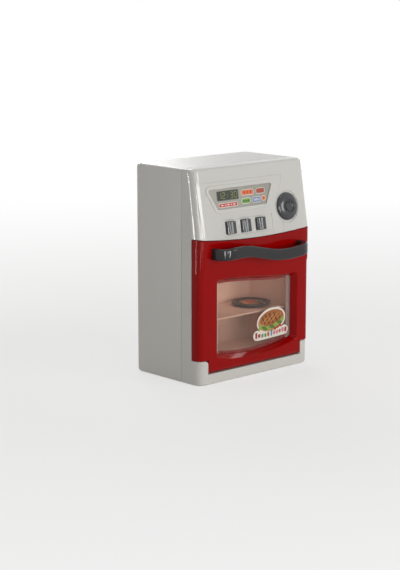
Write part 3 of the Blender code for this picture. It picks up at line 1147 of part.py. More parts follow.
def make_door(hinge):
    """Red door shell with the hinge barrel and the window funnel."""
    door = loft("door_shell", door_rings(), finish="red_plastic", parent=hinge, keep_world=True)
    face = prism("door_face", door_outline(0), "xz", FRONT_Y - CUT_OVERRUN, BACK_Y)
    shape_with(door, face, "INTERSECT")
    hollow_foot = EAR_TOP_Z + DOOR_EAR_GAP + DOOR_WALL
    half = HALF_WIDTH - DOOR_WALL
    upper_front = FRONT_Y + DOOR_WALL
    rings = [body_ring(z, half, front, DOOR_BACK_Y + CUT_OVERRUN, FRONT_EDGE_RADIUS - DOOR_WALL, 0)
             for z, front in ((hollow_foot, LOWER_FRONT_Y + DOOR_WALL),
                              (DOOR_CREASE_Z - DOOR_CREASE_HEIGHT, LOWER_FRONT_Y + DOOR_WALL),
                              (DOOR_CREASE_Z, upper_front),
                              (PANEL_EDGE_LEFT_Z + CUT_OVERRUN, upper_front))]
    hollow = loft("door_room", rings)
    trim = [(x, z) for x, z in door_outline(DOOR_WALL) if z > hollow_foot + JOIN_DEPTH]
    trim = [(-half - CUT_OVERRUN, 0), (half + CUT_OVERRUN, 0)] + trim
    shape_with(hollow, prism("door_room_face", trim, "xz", FRONT_Y, BACK_Y), "INTERSECT")
    shape_with(door, hollow, "DIFFERENCE")
    tongue = TONGUE_WIDTH / 2 - TONGUE_WALL
    shape_with(door, box("tongue_room", (-tongue, LOWER_FRONT_Y + DOOR_WALL, HINGE_Z + BARREL_RADIUS),
                         (tongue, DOOR_BACK_Y + CUT_OVERRUN, hollow_foot + JOIN_DEPTH)), "DIFFERENCE")
    outer = [flat_ring(window_outline(-FUNNEL_WALL), LOWER_FRONT_Y + DOOR_WALL / 2),
             flat_ring(window_outline(FUNNEL_SLOPE - FUNNEL_WALL), LOWER_FRONT_Y + FUNNEL_DEPTH)]
    shape_with(door, loft("funnel_wall", outer), "UNION")
    bm = bmesh.new()
    for x, z in inner_frame_screw_places():
        add_turned(bm, rod_profile(INNER_FRAME_POST_RADIUS, LOWER_FRONT_Y + DOOR_WALL / 2,
                                   INNER_FRAME_FRONT_Y - PART_GAP), SCREW_SIDES,
                   (x, 0, z), (0, 1, 0))
    shape_with(door, piece("door_posts", bm), "UNION")
    bm = bmesh.new()
    slope = FUNNEL_SLOPE / FUNNEL_DEPTH
    add_rings(bm, [flat_ring(window_outline(-slope * JOIN_DEPTH), LOWER_FRONT_Y - JOIN_DEPTH),
                   flat_ring(window_outline(FUNNEL_SLOPE + slope * JOIN_DEPTH),
                             LOWER_FRONT_Y + FUNNEL_DEPTH + JOIN_DEPTH)])
    hole = SCREW_SHANK_RADIUS + SCREW_CLEARANCE
    for x, z in inner_frame_screw_places():
        add_turned(bm, rod_profile(hole, LOWER_FRONT_Y + DOOR_WALL, DOOR_BACK_Y), SCREW_SIDES,
                   (x, 0, z), (0, 1, 0))
    pin_hole = HINGE_PIN_RADIUS + HINGE_CLEARANCE
    for side in (-1, 1):
        add_turned(bm, rod_profile(pin_hole, -HINGE_PIN_IN_DOOR, CUT_OVERRUN), ROUND_SIDES // 2,
                   (side * TONGUE_WIDTH / 2, HINGE_Y, HINGE_Z), (side, 0, 0))
    shape_with(door, piece("door_cuts", bm), "DIFFERENCE")
    bm = bmesh.new()
    for x, z in handle_foot_places():
        add_turned(bm, rod_profile(hole, FRONT_Y - JOIN_DEPTH, upper_front + JOIN_DEPTH), SCREW_SIDES,
                   (x, 0, z), (0, 1, 0))
    shape_with(door, piece("handle_holes", bm), "DIFFERENCE")
    for label, side in (("left", -1), ("right", 1)):
        turned("hinge_pin_" + label, rod_profile(HINGE_PIN_RADIUS, PART_GAP - HINGE_PIN_IN_DOOR,
                                                 HINGE_PIN_IN_EAR), ROUND_SIDES // 2,
               (side * TONGUE_WIDTH / 2, HINGE_Y, HINGE_Z), (side, 0, 0), finish="steel",
               parent=hinge, keep_world=True)


def make_window(hinge):
    """Clear pane, the inner frame that clamps it and the sticker on its face."""
    throat = FUNNEL_SLOPE
    prism("window_pane", window_outline(throat - PANE_MARGIN), "xz", PANE_FRONT_Y,
          PANE_FRONT_Y + PANE_THICKNESS, finish="clear_plastic", parent=hinge, keep_world=True)
    inset = DOOR_WALL + PART_GAP
    outline = [(x, z) for x, z in door_outline(inset)
               if z > EAR_TOP_Z + DOOR_EAR_GAP + inset + JOIN_DEPTH]
    foot = EAR_TOP_Z + DOOR_EAR_GAP + DOOR_WALL + PART_GAP
    side = HALF_WIDTH - inset
    tongue = TONGUE_WIDTH / 2 - TONGUE_WALL - PART_GAP
    low = HINGE_Z + BARREL_RADIUS + PART_GAP
    outline += [(-side, foot), (-tongue, foot), (-tongue, low), (tongue, low), (tongue, foot),
                (side, foot)]
    frame = prism("door_inner_frame", outline, "xz", INNER_FRAME_FRONT_Y,
                  INNER_FRAME_FRONT_Y + INNER_FRAME_THICKNESS, finish="red_plastic",
                  parent=hinge, keep_world=True)
    bm = bmesh.new()
    low, high = INNER_FRAME_FRONT_Y - JOIN_DEPTH, INNER_FRAME_FRONT_Y + INNER_FRAME_THICKNESS + JOIN_DEPTH
    add_prism(bm, window_outline(throat + INNER_FRAME_REVEAL), "xz", low, high)
    seat = INNER_FRAME_FRONT_Y + INNER_FRAME_SEAT
    hole = SCREW_SHANK_RADIUS + SCREW_CLEARANCE
    wide = SCREW_HEAD_RADIUS + SCREW_CLEARANCE
    for x, z in inner_frame_screw_places():
        add_turned(bm, [(0, low), (hole, low), (hole, seat), (wide, seat), (wide, high), (0, high)],
                   SCREW_SIDES, (x, 0, z), (0, 1, 0))
    slot_half = CATCH_NOSE_WIDTH / 2 + CATCH_SLOT_CLEARANCE
    slot_foot = CATCH_NOSE_Z - CATCH_NOSE_HEIGHT / 2 - CATCH_SLOT_CLEARANCE
    add_prism(bm, rectangle(-slot_half, slot_half, slot_foot, PANEL_FOOT_Z), "xz", low, high)
    shape_with(frame, piece("inner_frame_cuts", bm), "DIFFERENCE")
    back = PANE_FRONT_Y - PART_GAP
    prism("window_sticker", sticker_outline(), "xz", back - STICKER_THICKNESS, back,
          finish="printed_film", parent=hinge, keep_world=True)


def sticker_outline():
    """A plain die-cut oval badge with a gently scalloped edge."""
    outline = []
    for step in range(ROUND_SIDES):
        angle = 2 * pi * step / ROUND_SIDES
        outline.append((STICKER_X + STICKER_WIDTH / 2 * cos(angle),
                        STICKER_Z + STICKER_HEIGHT / 2 * sin(angle)))
    return outline


def handle_path():
    """The handle's middle line in plan, from the left foot to the right foot."""
    half = HANDLE_LENGTH / 2 - HANDLE_THICKNESS / 2
    foot = FRONT_Y - PART_GAP
    reach = FRONT_Y - HANDLE_REACH + HANDLE_THICKNESS / 2
    bend = HANDLE_BEND_RADIUS
    steps = 5
    left = [(-half, foot, -1, 0)]
    for step in range(steps + 1):
        angle = pi / 2 * step / steps
        left.append((-half + bend * (1 - cos(angle)), reach + bend * (1 - sin(angle)),
                     -cos(angle), -sin(angle)))
    inner = half - bend
    middle = [(-inner + 2 * inner * step / WAVE_STEPS, reach, 0, -1)
              for step in range(1, WAVE_STEPS)]
    right = [(-x, y, -across, out) for x, y, across, out in reversed(left)]
    return left + middle + right


def make_handle(hinge):
    """Wavy bar that bends back to the door at both ends, with its two screws."""
    section = fillet(around((0, 0), HANDLE_THICKNESS, HANDLE_HEIGHT), HANDLE_EDGE_RADIUS, 2)
    rings = []
    for x, y, across, out in handle_path():
        rings.append([(x + a * across, y + a * out, handle_z(x) + b) for a, b in section])
    handle = loft("handle", rings, finish="grey_plastic", parent=hinge, keep_world=True)
    bm = bmesh.new()
    foot = FRONT_Y - PART_GAP
    hole = SCREW_SHANK_RADIUS + SCREW_CLEARANCE
    for x, z in handle_foot_places():
        add_turned(bm, rod_profile(hole, foot - HANDLE_SCREW_LENGTH, foot + CUT_OVERRUN),
                   SCREW_SIDES, (x, 0, z), (0, 1, 0))
    shape_with(handle, piece("handle_pilot_holes", bm), "DIFFERENCE")
    back = FRONT_Y + DOOR_WALL + PART_GAP
    screws("handle_screw", [(x, back, z) for x, z in handle_foot_places()], (0, -1, 0),
           HANDLE_SCREW_LENGTH, parent=hinge, keep_world=True)
    seat = INNER_FRAME_FRONT_Y + INNER_FRAME_SEAT + PART_GAP
    screws("inner_frame_screw", [(x, seat, z) for x, z in inner_frame_screw_places()], (0, -1, 0),
           seat - LOWER_FRONT_Y - DOOR_WALL - 2 * PART_GAP, parent=hinge, keep_world=True)


def make_catch():
    """Catch plate behind the frame's wall, whose nose enters a notch of the door's inner frame."""
    front = FRAME_WALL_BACK_Y + PART_GAP
    plate = box("door_catch", (-CATCH_WIDTH / 2, front, CATCH_FOOT_Z),
                (CATCH_WIDTH / 2, front + CATCH_BASE_THICKNESS, CATCH_FOOT_Z + CATCH_HEIGHT),
                finish="grey_plastic")
    half = CATCH_NOSE_HEIGHT / 2
    outline = [(front + CATCH_BASE_THICKNESS / 2, CATCH_NOSE_Z - half),
               (front + CATCH_BASE_THICKNESS / 2, CATCH_NOSE_Z + half),
               (FRAME_FACE_Y, CATCH_NOSE_Z + half),
               (FRAME_FACE_Y - CATCH_NOSE_LENGTH, CATCH_NOSE_Z + half / 2),
               (FRAME_FACE_Y - CATCH_NOSE_LENGTH, CATCH_NOSE_Z - half / 2),
               (FRAME_FACE_Y, CATCH_NOSE_Z - half)]
    shape_with(plate, prism("catch_nose", outline, "yz", -CATCH_NOSE_WIDTH / 2, CATCH_NOSE_WIDTH / 2),
               "UNION")


def make_speaker():
    """Small loudspeaker in its ring behind the grille."""
    face = BACK_Y - WALL - PART_GAP
    rear = face - SPEAKER_DEPTH
    rim = face - SPEAKER_RIM_THICKNESS
    basket = SPEAKER_MAGNET_RADIUS + SPEAKER_RIM_THICKNESS
    inner = CONE_RADIUS + PART_GAP
    profile = [(0, rear), (SPEAKER_MAGNET_RADIUS, rear), (SPEAKER_MAGNET_RADIUS, rim - JOIN_DEPTH),
               (basket, rim - JOIN_DEPTH), (SPEAKER_RADIUS, rim), (SPEAKER_RADIUS, face),
               (inner, face), (inner, rim + PART_GAP), (basket, rim + PART_GAP - JOIN_DEPTH),
               (0, rim + PART_GAP - JOIN_DEPTH)]
    turned("speaker", profile, ROUND_SIDES, (0, 0, SPEAKER_Z), (0, 1, 0), finish="steel")
    well = rim + 2 * PART_GAP - JOIN_DEPTH
    cone = [(0, well), (basket - PART_GAP, well), (CONE_RADIUS, face - CONE_THICKNESS - PART_GAP),
            (CONE_RADIUS, face - PART_GAP), (basket - PART_GAP, well + CONE_THICKNESS),
            (0, well + CONE_THICKNESS)]
    turned("speaker_cone", cone, ROUND_SIDES, (0, 0, SPEAKER_Z), (0, 1, 0), finish="paper_black")


def make_battery_box():
    """Two cells with their contacts and springs, and the screwed cover."""
    y = POCKET_FLOOR_Y + PART_GAP + CELL_RADIUS
    plate = POCKET_WIDTH / 2 - PART_GAP - CONTACT_THICKNESS
    for number, side in ((1, -1), (2, 1)):
        z = POCKET_Z + side * CELL_SPACING / 2
        nub = plate - PART_GAP
        profile = [(0, nub), (CELL_NUB_RADIUS, nub), (CELL_NUB_RADIUS, nub - CELL_NUB_HEIGHT),
                   (CELL_RADIUS, nub - CELL_NUB_HEIGHT), (CELL_RADIUS, nub - CELL_LENGTH),
                   (0, nub - CELL_LENGTH)]
        turned("battery_%d" % number, profile, ROUND_SIDES, (0, y, z), (-side, 0, 0),
               finish="cell_sleeve")
        length = 2 * plate - CELL_LENGTH - 3 * PART_GAP
        coil("battery_spring_%d" % number, CELL_SPRING_RADIUS, CELL_SPRING_WIRE_RADIUS,
             CELL_SPRING_TURNS, length, None, (side * (plate - PART_GAP), y, z),
             (0, -side * pi / 2, 0))
    outer = POCKET_WIDTH / 2 - PART_GAP
    reach = CONTACT_WIDTH / 2
    tall = CELL_SPACING / 2 + reach
    box("battery_contact_1", (-outer, y - reach, POCKET_Z - tall),
        (-plate, y + reach, POCKET_Z + tall), finish="steel")
    for number, side in ((2, -1), (3, 1)):
        z = POCKET_Z + side * CELL_SPACING / 2
        box("battery_contact_%d" % number, (plate, y - reach, z - reach),
            (outer, y + reach, z + reach), finish="steel")
    half = POCKET_HEIGHT / 2 + COVER_LEDGE - PART_GAP
    cover = box("battery_cover", (COVER_LEFT + PART_GAP, BACK_Y - COVER_THICKNESS, POCKET_Z - half),
                (COVER_RIGHT - PART_GAP, BACK_Y, POCKET_Z + half), finish="white_plastic")
    seat = BACK_Y - SCREW_HEAD_HEIGHT
    hole = SCREW_SHANK_RADIUS + SCREW_CLEARANCE
    wide = SCREW_HEAD_RADIUS + SCREW_CLEARANCE
    counterbore = [(0, BACK_Y - COVER_THICKNESS - JOIN_DEPTH), (hole, BACK_Y - COVER_THICKNESS - JOIN_DEPTH),
                   (hole, seat - PART_GAP), (wide, seat - PART_GAP), (wide, BACK_Y + JOIN_DEPTH),
                   (0, BACK_Y + JOIN_DEPTH)]
    shape_with(cover, turned("cover_hole", counterbore, ROUND_SIDES // 2,
                             (COVER_SCREW_X, 0, POCKET_Z), (0, 1, 0)), "DIFFERENCE")
    screws("battery_cover_screw", [(COVER_SCREW_X, seat, POCKET_Z)], (0, -1, 0), COVER_SCREW_LENGTH)


def make_switch():
    """Slide switch behind its slot; the slider is the part that moves."""
    face = BACK_Y - WALL - PART_GAP
    box("switch_body", (SWITCH_X - SWITCH_BODY_WIDTH / 2, face - SWITCH_BODY_DEPTH,
                        SWITCH_Z - SWITCH_BODY_HEIGHT / 2),
        (SWITCH_X + SWITCH_BODY_WIDTH / 2, face, SWITCH_Z + SWITCH_BODY_HEIGHT / 2),
        finish="steel")
    left = SWITCH_X - (SWITCH_SLIDER_WIDTH + SWITCH_TRAVEL) / 2
    low = face + PART_GAP
    high = BACK_Y - PART_GAP
    half = SWITCH_SLIDER_HEIGHT / 2
    width = SWITCH_SLIDER_WIDTH
    ridge_shares = (0, 0.2, 0.35, 0.5, 0.65, 0.8, 1)
    rise_shares = (0.5, 1, 0.5, 1, 0.5, 1, 0.5)
    outline = [(0, low), (width, low)]
    outline += [(width * share, high - SWITCH_SLIDER_RISE * (1 - rise))
                for share, rise in zip(reversed(ridge_shares), reversed(rise_shares))]
    bm = bmesh.new()
    add_prism(bm, outline, "xy", -half, half)
    piece("switch_slider", bm, finish="black_plastic", place=(left, 0, SWITCH_Z))


def make_case_screws():
    """The four long-well screws that join the rear housing to the front frame."""
    seat = SEAM_Y + PART_GAP / 2 + CASE_POST_SEAT + PART_GAP
    screws("case_screw", [(x, seat, z) for x, z in case_screw_places()], (0, -1, 0),
           CASE_SCREW_LENGTH)


def build():
    for old in list(bpy.data.objects):
        bpy.data.objects.remove(old, do_unlink=True)
    panel = guide("panel_plane", (0, FRONT_Y, PANEL_FOOT_Z), -PANEL_LEAN)
    knob_axis = bpy.data.objects.new("knob_axis", None)
    bpy.context.scene.collection.objects.link(knob_axis)
    knob_axis.parent = panel
    knob_axis.location = (KNOB_X, 0, KNOB_UP)
    hinge = guide("door_hinge", (0, HINGE_Y, HINGE_Z))
    make_front_frame(panel)
    make_rear_housing()
    make_display_label(panel)
    for index, centre in enumerate(button_places()):
        make_button(index + 1, centre, panel)
        make_key_spring(index + 1, centre, panel)
    make_circuit_board(panel)
    make_knob(knob_axis)
    make_liner()
    make_shelf()
    make_dish()
    make_lamp()
    make_door(hinge)
    make_window(hinge)
    make_handle(hinge)
    make_catch()
    make_speaker()
    make_battery_box()
    make_switch()
    make_case_screws()


build()
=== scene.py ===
import json
from math import cos, pi, radians, sin

import bpy
from mathutils import Matrix, Vector

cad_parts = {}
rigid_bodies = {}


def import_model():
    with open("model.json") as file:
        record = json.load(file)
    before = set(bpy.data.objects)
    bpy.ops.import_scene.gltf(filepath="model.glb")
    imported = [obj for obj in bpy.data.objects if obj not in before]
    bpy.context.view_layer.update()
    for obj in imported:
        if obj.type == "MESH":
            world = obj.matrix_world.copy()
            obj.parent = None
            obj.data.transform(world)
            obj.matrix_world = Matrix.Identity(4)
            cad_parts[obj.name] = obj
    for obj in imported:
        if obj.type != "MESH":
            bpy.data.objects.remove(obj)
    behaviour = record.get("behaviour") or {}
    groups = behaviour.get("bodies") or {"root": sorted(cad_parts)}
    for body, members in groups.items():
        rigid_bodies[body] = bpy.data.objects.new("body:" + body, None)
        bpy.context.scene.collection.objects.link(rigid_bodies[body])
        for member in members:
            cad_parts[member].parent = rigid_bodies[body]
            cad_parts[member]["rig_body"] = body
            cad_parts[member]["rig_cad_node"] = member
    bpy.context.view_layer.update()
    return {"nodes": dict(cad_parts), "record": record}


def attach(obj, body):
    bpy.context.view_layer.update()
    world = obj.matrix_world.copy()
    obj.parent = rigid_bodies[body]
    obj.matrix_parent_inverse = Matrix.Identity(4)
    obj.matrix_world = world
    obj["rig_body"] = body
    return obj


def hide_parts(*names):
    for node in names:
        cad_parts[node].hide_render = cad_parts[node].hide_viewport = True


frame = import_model()
bpy.ops.object.select_all(action="DESELECT")


# Front frame: the control panel, the two side strips and the base band in one hollow moulding.
# It is glossy white plastic, held by four long screws from behind. A faint curved parting step and
# a straight one above the display are left by the mould's inserts.
MM = 0.001
MERGE_DISTANCE = 0.001 * MM
EDGE_ANGLE = radians(38)
# How many lumps of a plastic's looks lie along a metre
PIGMENT_LUMPS = 28
HANDLING_LUMPS = 90
SKIN_LUMPS = 420
GRAIN_LUMPS = 1500
GLOSS_SWING = 0.08
GROOVE_SHADE = 0.45


def linear(red, green, blue):
    """A colour as it shows on a screen, 0 to 255, in the renderer's linear numbers."""
    channels = [part / 255 for part in (red, green, blue)]
    return [part / 12.92 if part < 0.04 else ((part + 0.055) / 1.055) ** 2.4
            for part in channels] + [1]


def shaded(colour, share):
    """The colour made darker or lighter."""
    return [min(1, part * share) for part in colour[:3]] + [1]


class Signal:
    """A shader socket. Arithmetic on it adds Math nodes, and node() adds any other kind."""

    def __init__(self, tree, socket=None):
        self.tree = tree
        self.socket = socket

    def node(self, kind, values=None, settings=None, output=0):
        made = self.tree.nodes.new("ShaderNode" + kind)
        for name, setting in (settings or {}).items():
            if name == "stops":
                set_stops(made.color_ramp, setting)
            else:
                setattr(made, name, setting)
        for name, value in (values or {}).items():
            if isinstance(value, Signal):
                self.tree.links.new(value.socket, made.inputs[name])
            else:
                made.inputs[name].default_value = value
        return Signal(self.tree, made.outputs[output] if len(made.outputs) else None)

    def maths(self, operation, *values):
        return self.node("Math", dict(enumerate(values)), {"operation": operation})

    def __add__(self, other):
        return self.maths("ADD", self, other)

    def __sub__(self, other):
        return self.maths("SUBTRACT", self, other)

    def __mul__(self, other):
        return self.maths("MULTIPLY", self, other)

    def __truediv__(self, other):
        return self.maths("DIVIDE", self, other)

    def __abs__(self):
        return self.maths("ABSOLUTE", self)

    def __lt__(self, other):
        return self.maths("LESS_THAN", self, other)

    def __gt__(self, other):
        return self.maths("GREATER_THAN", self, other)

    def within(self, half_width, edge):
        """1 where this is within half_width of zero, falling to 0 over edge."""
        return self.node("MapRange", {"Value": abs(self), "From Min": half_width + edge,
                                      "From Max": half_width}, {"interpolation_type": "SMOOTHSTEP"})

    def mix(self, first, second):
        """A colour from first to second as this goes from 0 to 1."""
        return self.node("Mix", {"Factor": self, 6: first, 7: second}, {"data_type": "RGBA"}, 2)


def set_stops(ramp, stops):
    while len(ramp.elements) < len(stops):
        ramp.elements.new(1)
    for element, (position, colour) in zip(ramp.elements, stops):
        element.position, element.color = position, colour


def new_material(name):
    """The material and its object coordinates, in metres."""
    made = bpy.data.materials.new(name)
    made.use_nodes = True
    made.node_tree.nodes.clear()
    tree = Signal(made.node_tree)
    return made, tree.node("TexCoord", output="Object")


def axes(place):
    """The X, Y and Z of object coordinates."""
    split = place.node("SeparateXYZ", {"Vector": place}).socket.node
    return [Signal(place.tree, output) for output in split.outputs]


def noise(place, scale, detail=2, stretch=(1, 1, 1)):
    """Cloudy values about 0.5, with lumps 1/scale metres wide."""
    turned = place.node("Mapping", {"Vector": place, "Scale": stretch})
    return place.node("TexNoise", {"Vector": turned, "Scale": scale, "Detail": detail})


def plastic(name, colour, roughness, drift=0.03, skin=0.0015 * MM, grain=0, groove=None,
            **settings):
    """Moulded plastic: the pigment drifts, handling dulls the gloss in places and the skin is
    faintly uneven. grain is an eroded texture's depth, and groove gives lines depth and shade."""
    made, place = new_material(name)
    cloud = noise(place, PIGMENT_LUMPS, 3)
    tint = cloud.mix(shaded(colour, 1 - drift), shaded(colour, 1 + drift))
    height = noise(place, SKIN_LUMPS) * skin
    if grain:
        height = height + noise(place, GRAIN_LUMPS, 3) * grain
    if groove:
        depth, dark = groove(place)
        height = height - depth
        tint = dark.mix(tint, shaded(colour, GROOVE_SHADE))
    handled = noise(place, HANDLING_LUMPS, 4)
    bump = place.node("Bump", {"Height": height, "Distance": 1.0})
    shader = place.node("BsdfPrincipled", {
        "Base Color": tint, "Normal": bump,
        "Roughness": handled * GLOSS_SWING + (roughness - GLOSS_SWING / 2), **settings})
    place.node("OutputMaterial", {"Surface": shader})
    return made


def wear(piece, material):
    """Gives the piece its material."""
    piece.data.materials.clear()
    piece.data.materials.append(material)
    return piece


def apply_modifiers(piece):
    for modifier in list(piece.modifiers):
        bpy.ops.object.modifier_apply(modifier=modifier.name)


def moulding(node, body, material, edge=0.25 * MM):
    """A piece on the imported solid's form: its triangles merged, every sharp edge broken by the
    mould's small radius, and its curves shaded smooth."""
    bpy.ops.object.select_all(action="DESELECT")
    solid = frame["nodes"][node]
    solid.select_set(True)
    bpy.context.view_layer.objects.active = solid
    bpy.ops.object.duplicate()
    piece = bpy.context.object
    piece.parent = None
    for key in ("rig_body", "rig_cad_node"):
        del piece[key]
    piece.name = piece.data.name = node + "_form"
    bpy.ops.object.mode_set(mode="EDIT")
    bpy.ops.mesh.select_all(action="SELECT")
    bpy.ops.mesh.remove_doubles(threshold=MERGE_DISTANCE)
    bpy.ops.mesh.dissolve_limited(angle_limit=radians(0.3))
    bpy.ops.mesh.quads_convert_to_tris(quad_method="BEAUTY", ngon_method="BEAUTY")
    bpy.ops.object.mode_set(mode="OBJECT")
    if edge:
        broken = piece.modifiers.new("broken edges", "BEVEL")
        broken.width, broken.segments, broken.angle_limit = edge, 2, EDGE_ANGLE
        broken.use_clamp_overlap = False
    bpy.ops.object.shade_smooth_by_angle(angle=EDGE_ANGLE)
    piece.modifiers.new("flat faces stay flat", "WEIGHTED_NORMAL").keep_sharp = True
    apply_modifiers(piece)
    wear(piece, material)
    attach(piece, body)
    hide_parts(node)
    return piece


WHITE = linear(203, 201, 195)
STEP_HALF = 0.12 * MM
STEP_DEPTH = 0.12 * MM
STEP_SHADE = 0.35
STEPS_BACK_Y = -22 * MM
STEPS_FOOT_Z = 133 * MM
COURSE_FOOT_Z = 130 * MM
COURSE_HEIGHT = 72 * MM
COURSE_LEFT_X = 25 * MM
COURSE_WIDTH = 20 * MM
# The curved step's way up the panel: Z and X in millimetres
COURSE = ((137, 35.6), (144, 36.2), (153, 30), (161, 27.4), (170, 32), (180, 37.6), (189, 40.4))
STRAIGHT_STEP_Z = 189 * MM
STRAIGHT_STEP_LEFT_X = -62 * MM
STRAIGHT_STEP_RIGHT_X = 40.4 * MM


def parting_steps(place):
    """The curved line right of the display and the straight one above it, on the leaning panel."""
    x, y, z = axes(place)
    stops = []
    for step_z, step_x in COURSE:
        share = (step_x * MM - COURSE_LEFT_X) / COURSE_WIDTH
        stops.append(((step_z * MM - COURSE_FOOT_Z) / COURSE_HEIGHT, (share, share, share, 1)))
    reach = (z - COURSE_FOOT_Z) / COURSE_HEIGHT
    curve_x = place.node("ValToRGB", {"Fac": reach}, {"stops": stops})
    curve_x = curve_x * COURSE_WIDTH + COURSE_LEFT_X
    curved = (x - curve_x).within(STEP_HALF, STEP_HALF) * (z < STRAIGHT_STEP_Z)
    straight = (z - STRAIGHT_STEP_Z).within(STEP_HALF, STEP_HALF)
    straight = straight * (x < STRAIGHT_STEP_RIGHT_X) * (x > STRAIGHT_STEP_LEFT_X)
    line = (curved + straight) * (y < STEPS_BACK_Y) * (z > STEPS_FOOT_Z)
    return line * STEP_DEPTH, line * STEP_SHADE


panel_white = plastic("panel white", WHITE, 0.15, drift=0.012, groove=parting_steps)
moulding("front_frame", "casing", panel_white)


# Display: a printed film in the panel's bordered recess, silver-grey with a dark green number
# window, a red bar and five coloured keys. Film and prints are pressed on from the front.
PANEL_LEAN = radians(10)
PANEL_FRONT_Y = -36.5 * MM
PANEL_FOOT_Z = 138 * MM
FILM_DEPTH = 0.3 * MM
PRINT_THICKNESS = 0.03 * MM
PRINT_CORNER_STEPS = 6
OVAL_STEPS = 20


def laid(patch, thickness, place, turn):
    """Gives a flat outline its thickness and lays it in place by a matrix."""
    bpy.ops.mesh.select_all(action="SELECT")
    bpy.ops.mesh.extrude_region_move(TRANSFORM_OT_translate={"value": (0, 0, thickness)})
    bpy.ops.mesh.select_all(action="SELECT")
    bpy.ops.mesh.normals_make_consistent(inside=False)
    bpy.ops.object.mode_set(mode="OBJECT")
    patch.matrix_world = place @ Matrix.Rotation(turn, 4, "Z")
    bpy.ops.object.transform_apply()
    return patch


def flat_patch(width, height, corner, place, turn=0, thickness=PRINT_THICKNESS):
    """A printed patch with round corners, drawn flat and laid in place by a matrix."""
    bpy.ops.mesh.primitive_plane_add(size=1)
    patch = bpy.context.object
    bpy.ops.transform.resize(value=(width, height, 1))
    bpy.ops.object.transform_apply(scale=True)
    bpy.ops.object.mode_set(mode="EDIT")
    bpy.ops.mesh.select_all(action="SELECT")
    bpy.ops.mesh.bevel(offset=corner, segments=PRINT_CORNER_STEPS, affect="VERTICES")
    bpy.ops.mesh.select_all(action="SELECT")
    bpy.ops.mesh.remove_doubles(threshold=MERGE_DISTANCE)
    return laid(patch, thickness, place, turn)


def oval_patch(width, height, place, turn=0, thickness=PRINT_THICKNESS, steps=OVAL_STEPS,
               bow=0):
    """A printed oval. A bow above 0 draws its two ends to points, like a leaf's."""
    bpy.ops.mesh.primitive_circle_add(vertices=steps, radius=0.5, fill_type="NGON")
    patch = bpy.context.object
    bpy.ops.transform.resize(value=(width, height, 1))
    bpy.ops.object.transform_apply(scale=True)
    if bow:
        for point in patch.data.vertices:
            point.co.y *= max(0, 1 - (2 * point.co.x / width) ** 2) ** bow
    bpy.ops.object.mode_set(mode="EDIT")
    return laid(patch, thickness, place, turn)


def on_panel(x, up, layer=1):
    """The place on the film for a patch drawn flat: its up runs up the leaning panel."""
    out = Vector((0, -cos(PANEL_LEAN), sin(PANEL_LEAN)))
    rise = Vector((0, sin(PANEL_LEAN), cos(PANEL_LEAN)))
    spot = Vector((x, PANEL_FRONT_Y, PANEL_FOOT_Z)) + rise * up
    spot = spot + out * (layer * PRINT_THICKNESS - FILM_DEPTH)
    turned = Matrix((Vector((1, 0, 0)), rise, out)).transposed().to_4x4()
    return Matrix.Translation(spot) @ turned


def printed(patches, name, body, material):
    """Joins the patches of one colour to one print."""
    bpy.ops.object.select_all(action="DESELECT")
    for patch in patches:
        patch.select_set(True)
    bpy.context.view_layer.objects.active = patches[0]
    if len(patches) > 1:
        bpy.ops.object.join()
    print_piece = bpy.context.view_layer.objects.active
    print_piece.name = print_piece.data.name = name
    wear(print_piece, material)
    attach(print_piece, body)
    return print_piece


def ink(name, colour, roughness=0.3):
    """Screen-printed ink: fine dots of the screen show as a faint change of shade."""
    made, place = new_material(name)
    screen = noise(place, 2600, 1)
    blotch = noise(place, 300, 2)
    tint = (screen * 0.5 + blotch * 0.5).mix(shaded(colour, 0.82), shaded(colour, 1.18))
    bump = place.node("Bump", {"Height": screen * (0.002 * MM), "Distance": 1.0})
    shader = place.node("BsdfPrincipled", {"Base Color": tint, "Normal": bump,
                                           "Roughness": blotch * 0.1 + roughness})
    place.node("OutputMaterial", {"Surface": shader})
    return made


def silver_film():
    """Silver-grey ink behind clear foil: fine flakes and a slow change from side to side."""
    made, place = new_material("silver film")
    flakes = noise(place, 4200, 1)
    sweep = noise(place, 22, 1)
    tint = (flakes * 0.35 + sweep * 0.65).mix(linear(108, 106, 98), linear(160, 157, 147))
    bump = place.node("Bump", {"Height": sweep * (0.01 * MM), "Distance": 1.0})
    shader = place.node("BsdfPrincipled", {
        "Base Color": tint, "Metallic": flakes * 0.5, "Roughness": flakes * 0.15 + 0.28,
        "Normal": bump, "Coat Weight": 0.6, "Coat Roughness": 0.08})
    place.node("OutputMaterial", {"Surface": shader})
    return made


wear(frame["nodes"]["display_label"], silver_film())

dark_ink = ink("dark ink", linear(38, 40, 36))
white_ink = ink("white ink", linear(222, 220, 212))
window_ink = ink("number window ink", linear(38, 46, 30), 0.2)
digit_ink = ink("digit ink", linear(112, 120, 62), 0.25)
red_ink = ink("red ink", linear(186, 44, 34))
orange_ink = ink("orange ink", linear(214, 112, 44))
brown_ink = ink("brown ink", linear(150, 74, 38))
green_ink = ink("green ink", linear(122, 158, 56))
deep_green_ink = ink("deep green ink", linear(44, 92, 34))
blue_ink = ink("blue ink", linear(92, 112, 164))

WINDOW_X = -32.2 * MM
WINDOW_UP = 38.4 * MM
WINDOW_WIDTH = 26.4 * MM
WINDOW_HEIGHT = 7.8 * MM
DIGIT_WIDTH = 3.2 * MM
DIGIT_HEIGHT = 5.4 * MM
DIGIT_STROKE = 0.8 * MM
DIGIT_GAP = 0.2 * MM
DIGIT_PITCH = 5.04 * MM
WINDOW_BORDER = 0.6 * MM
SHOWN_TIME = "12:30"
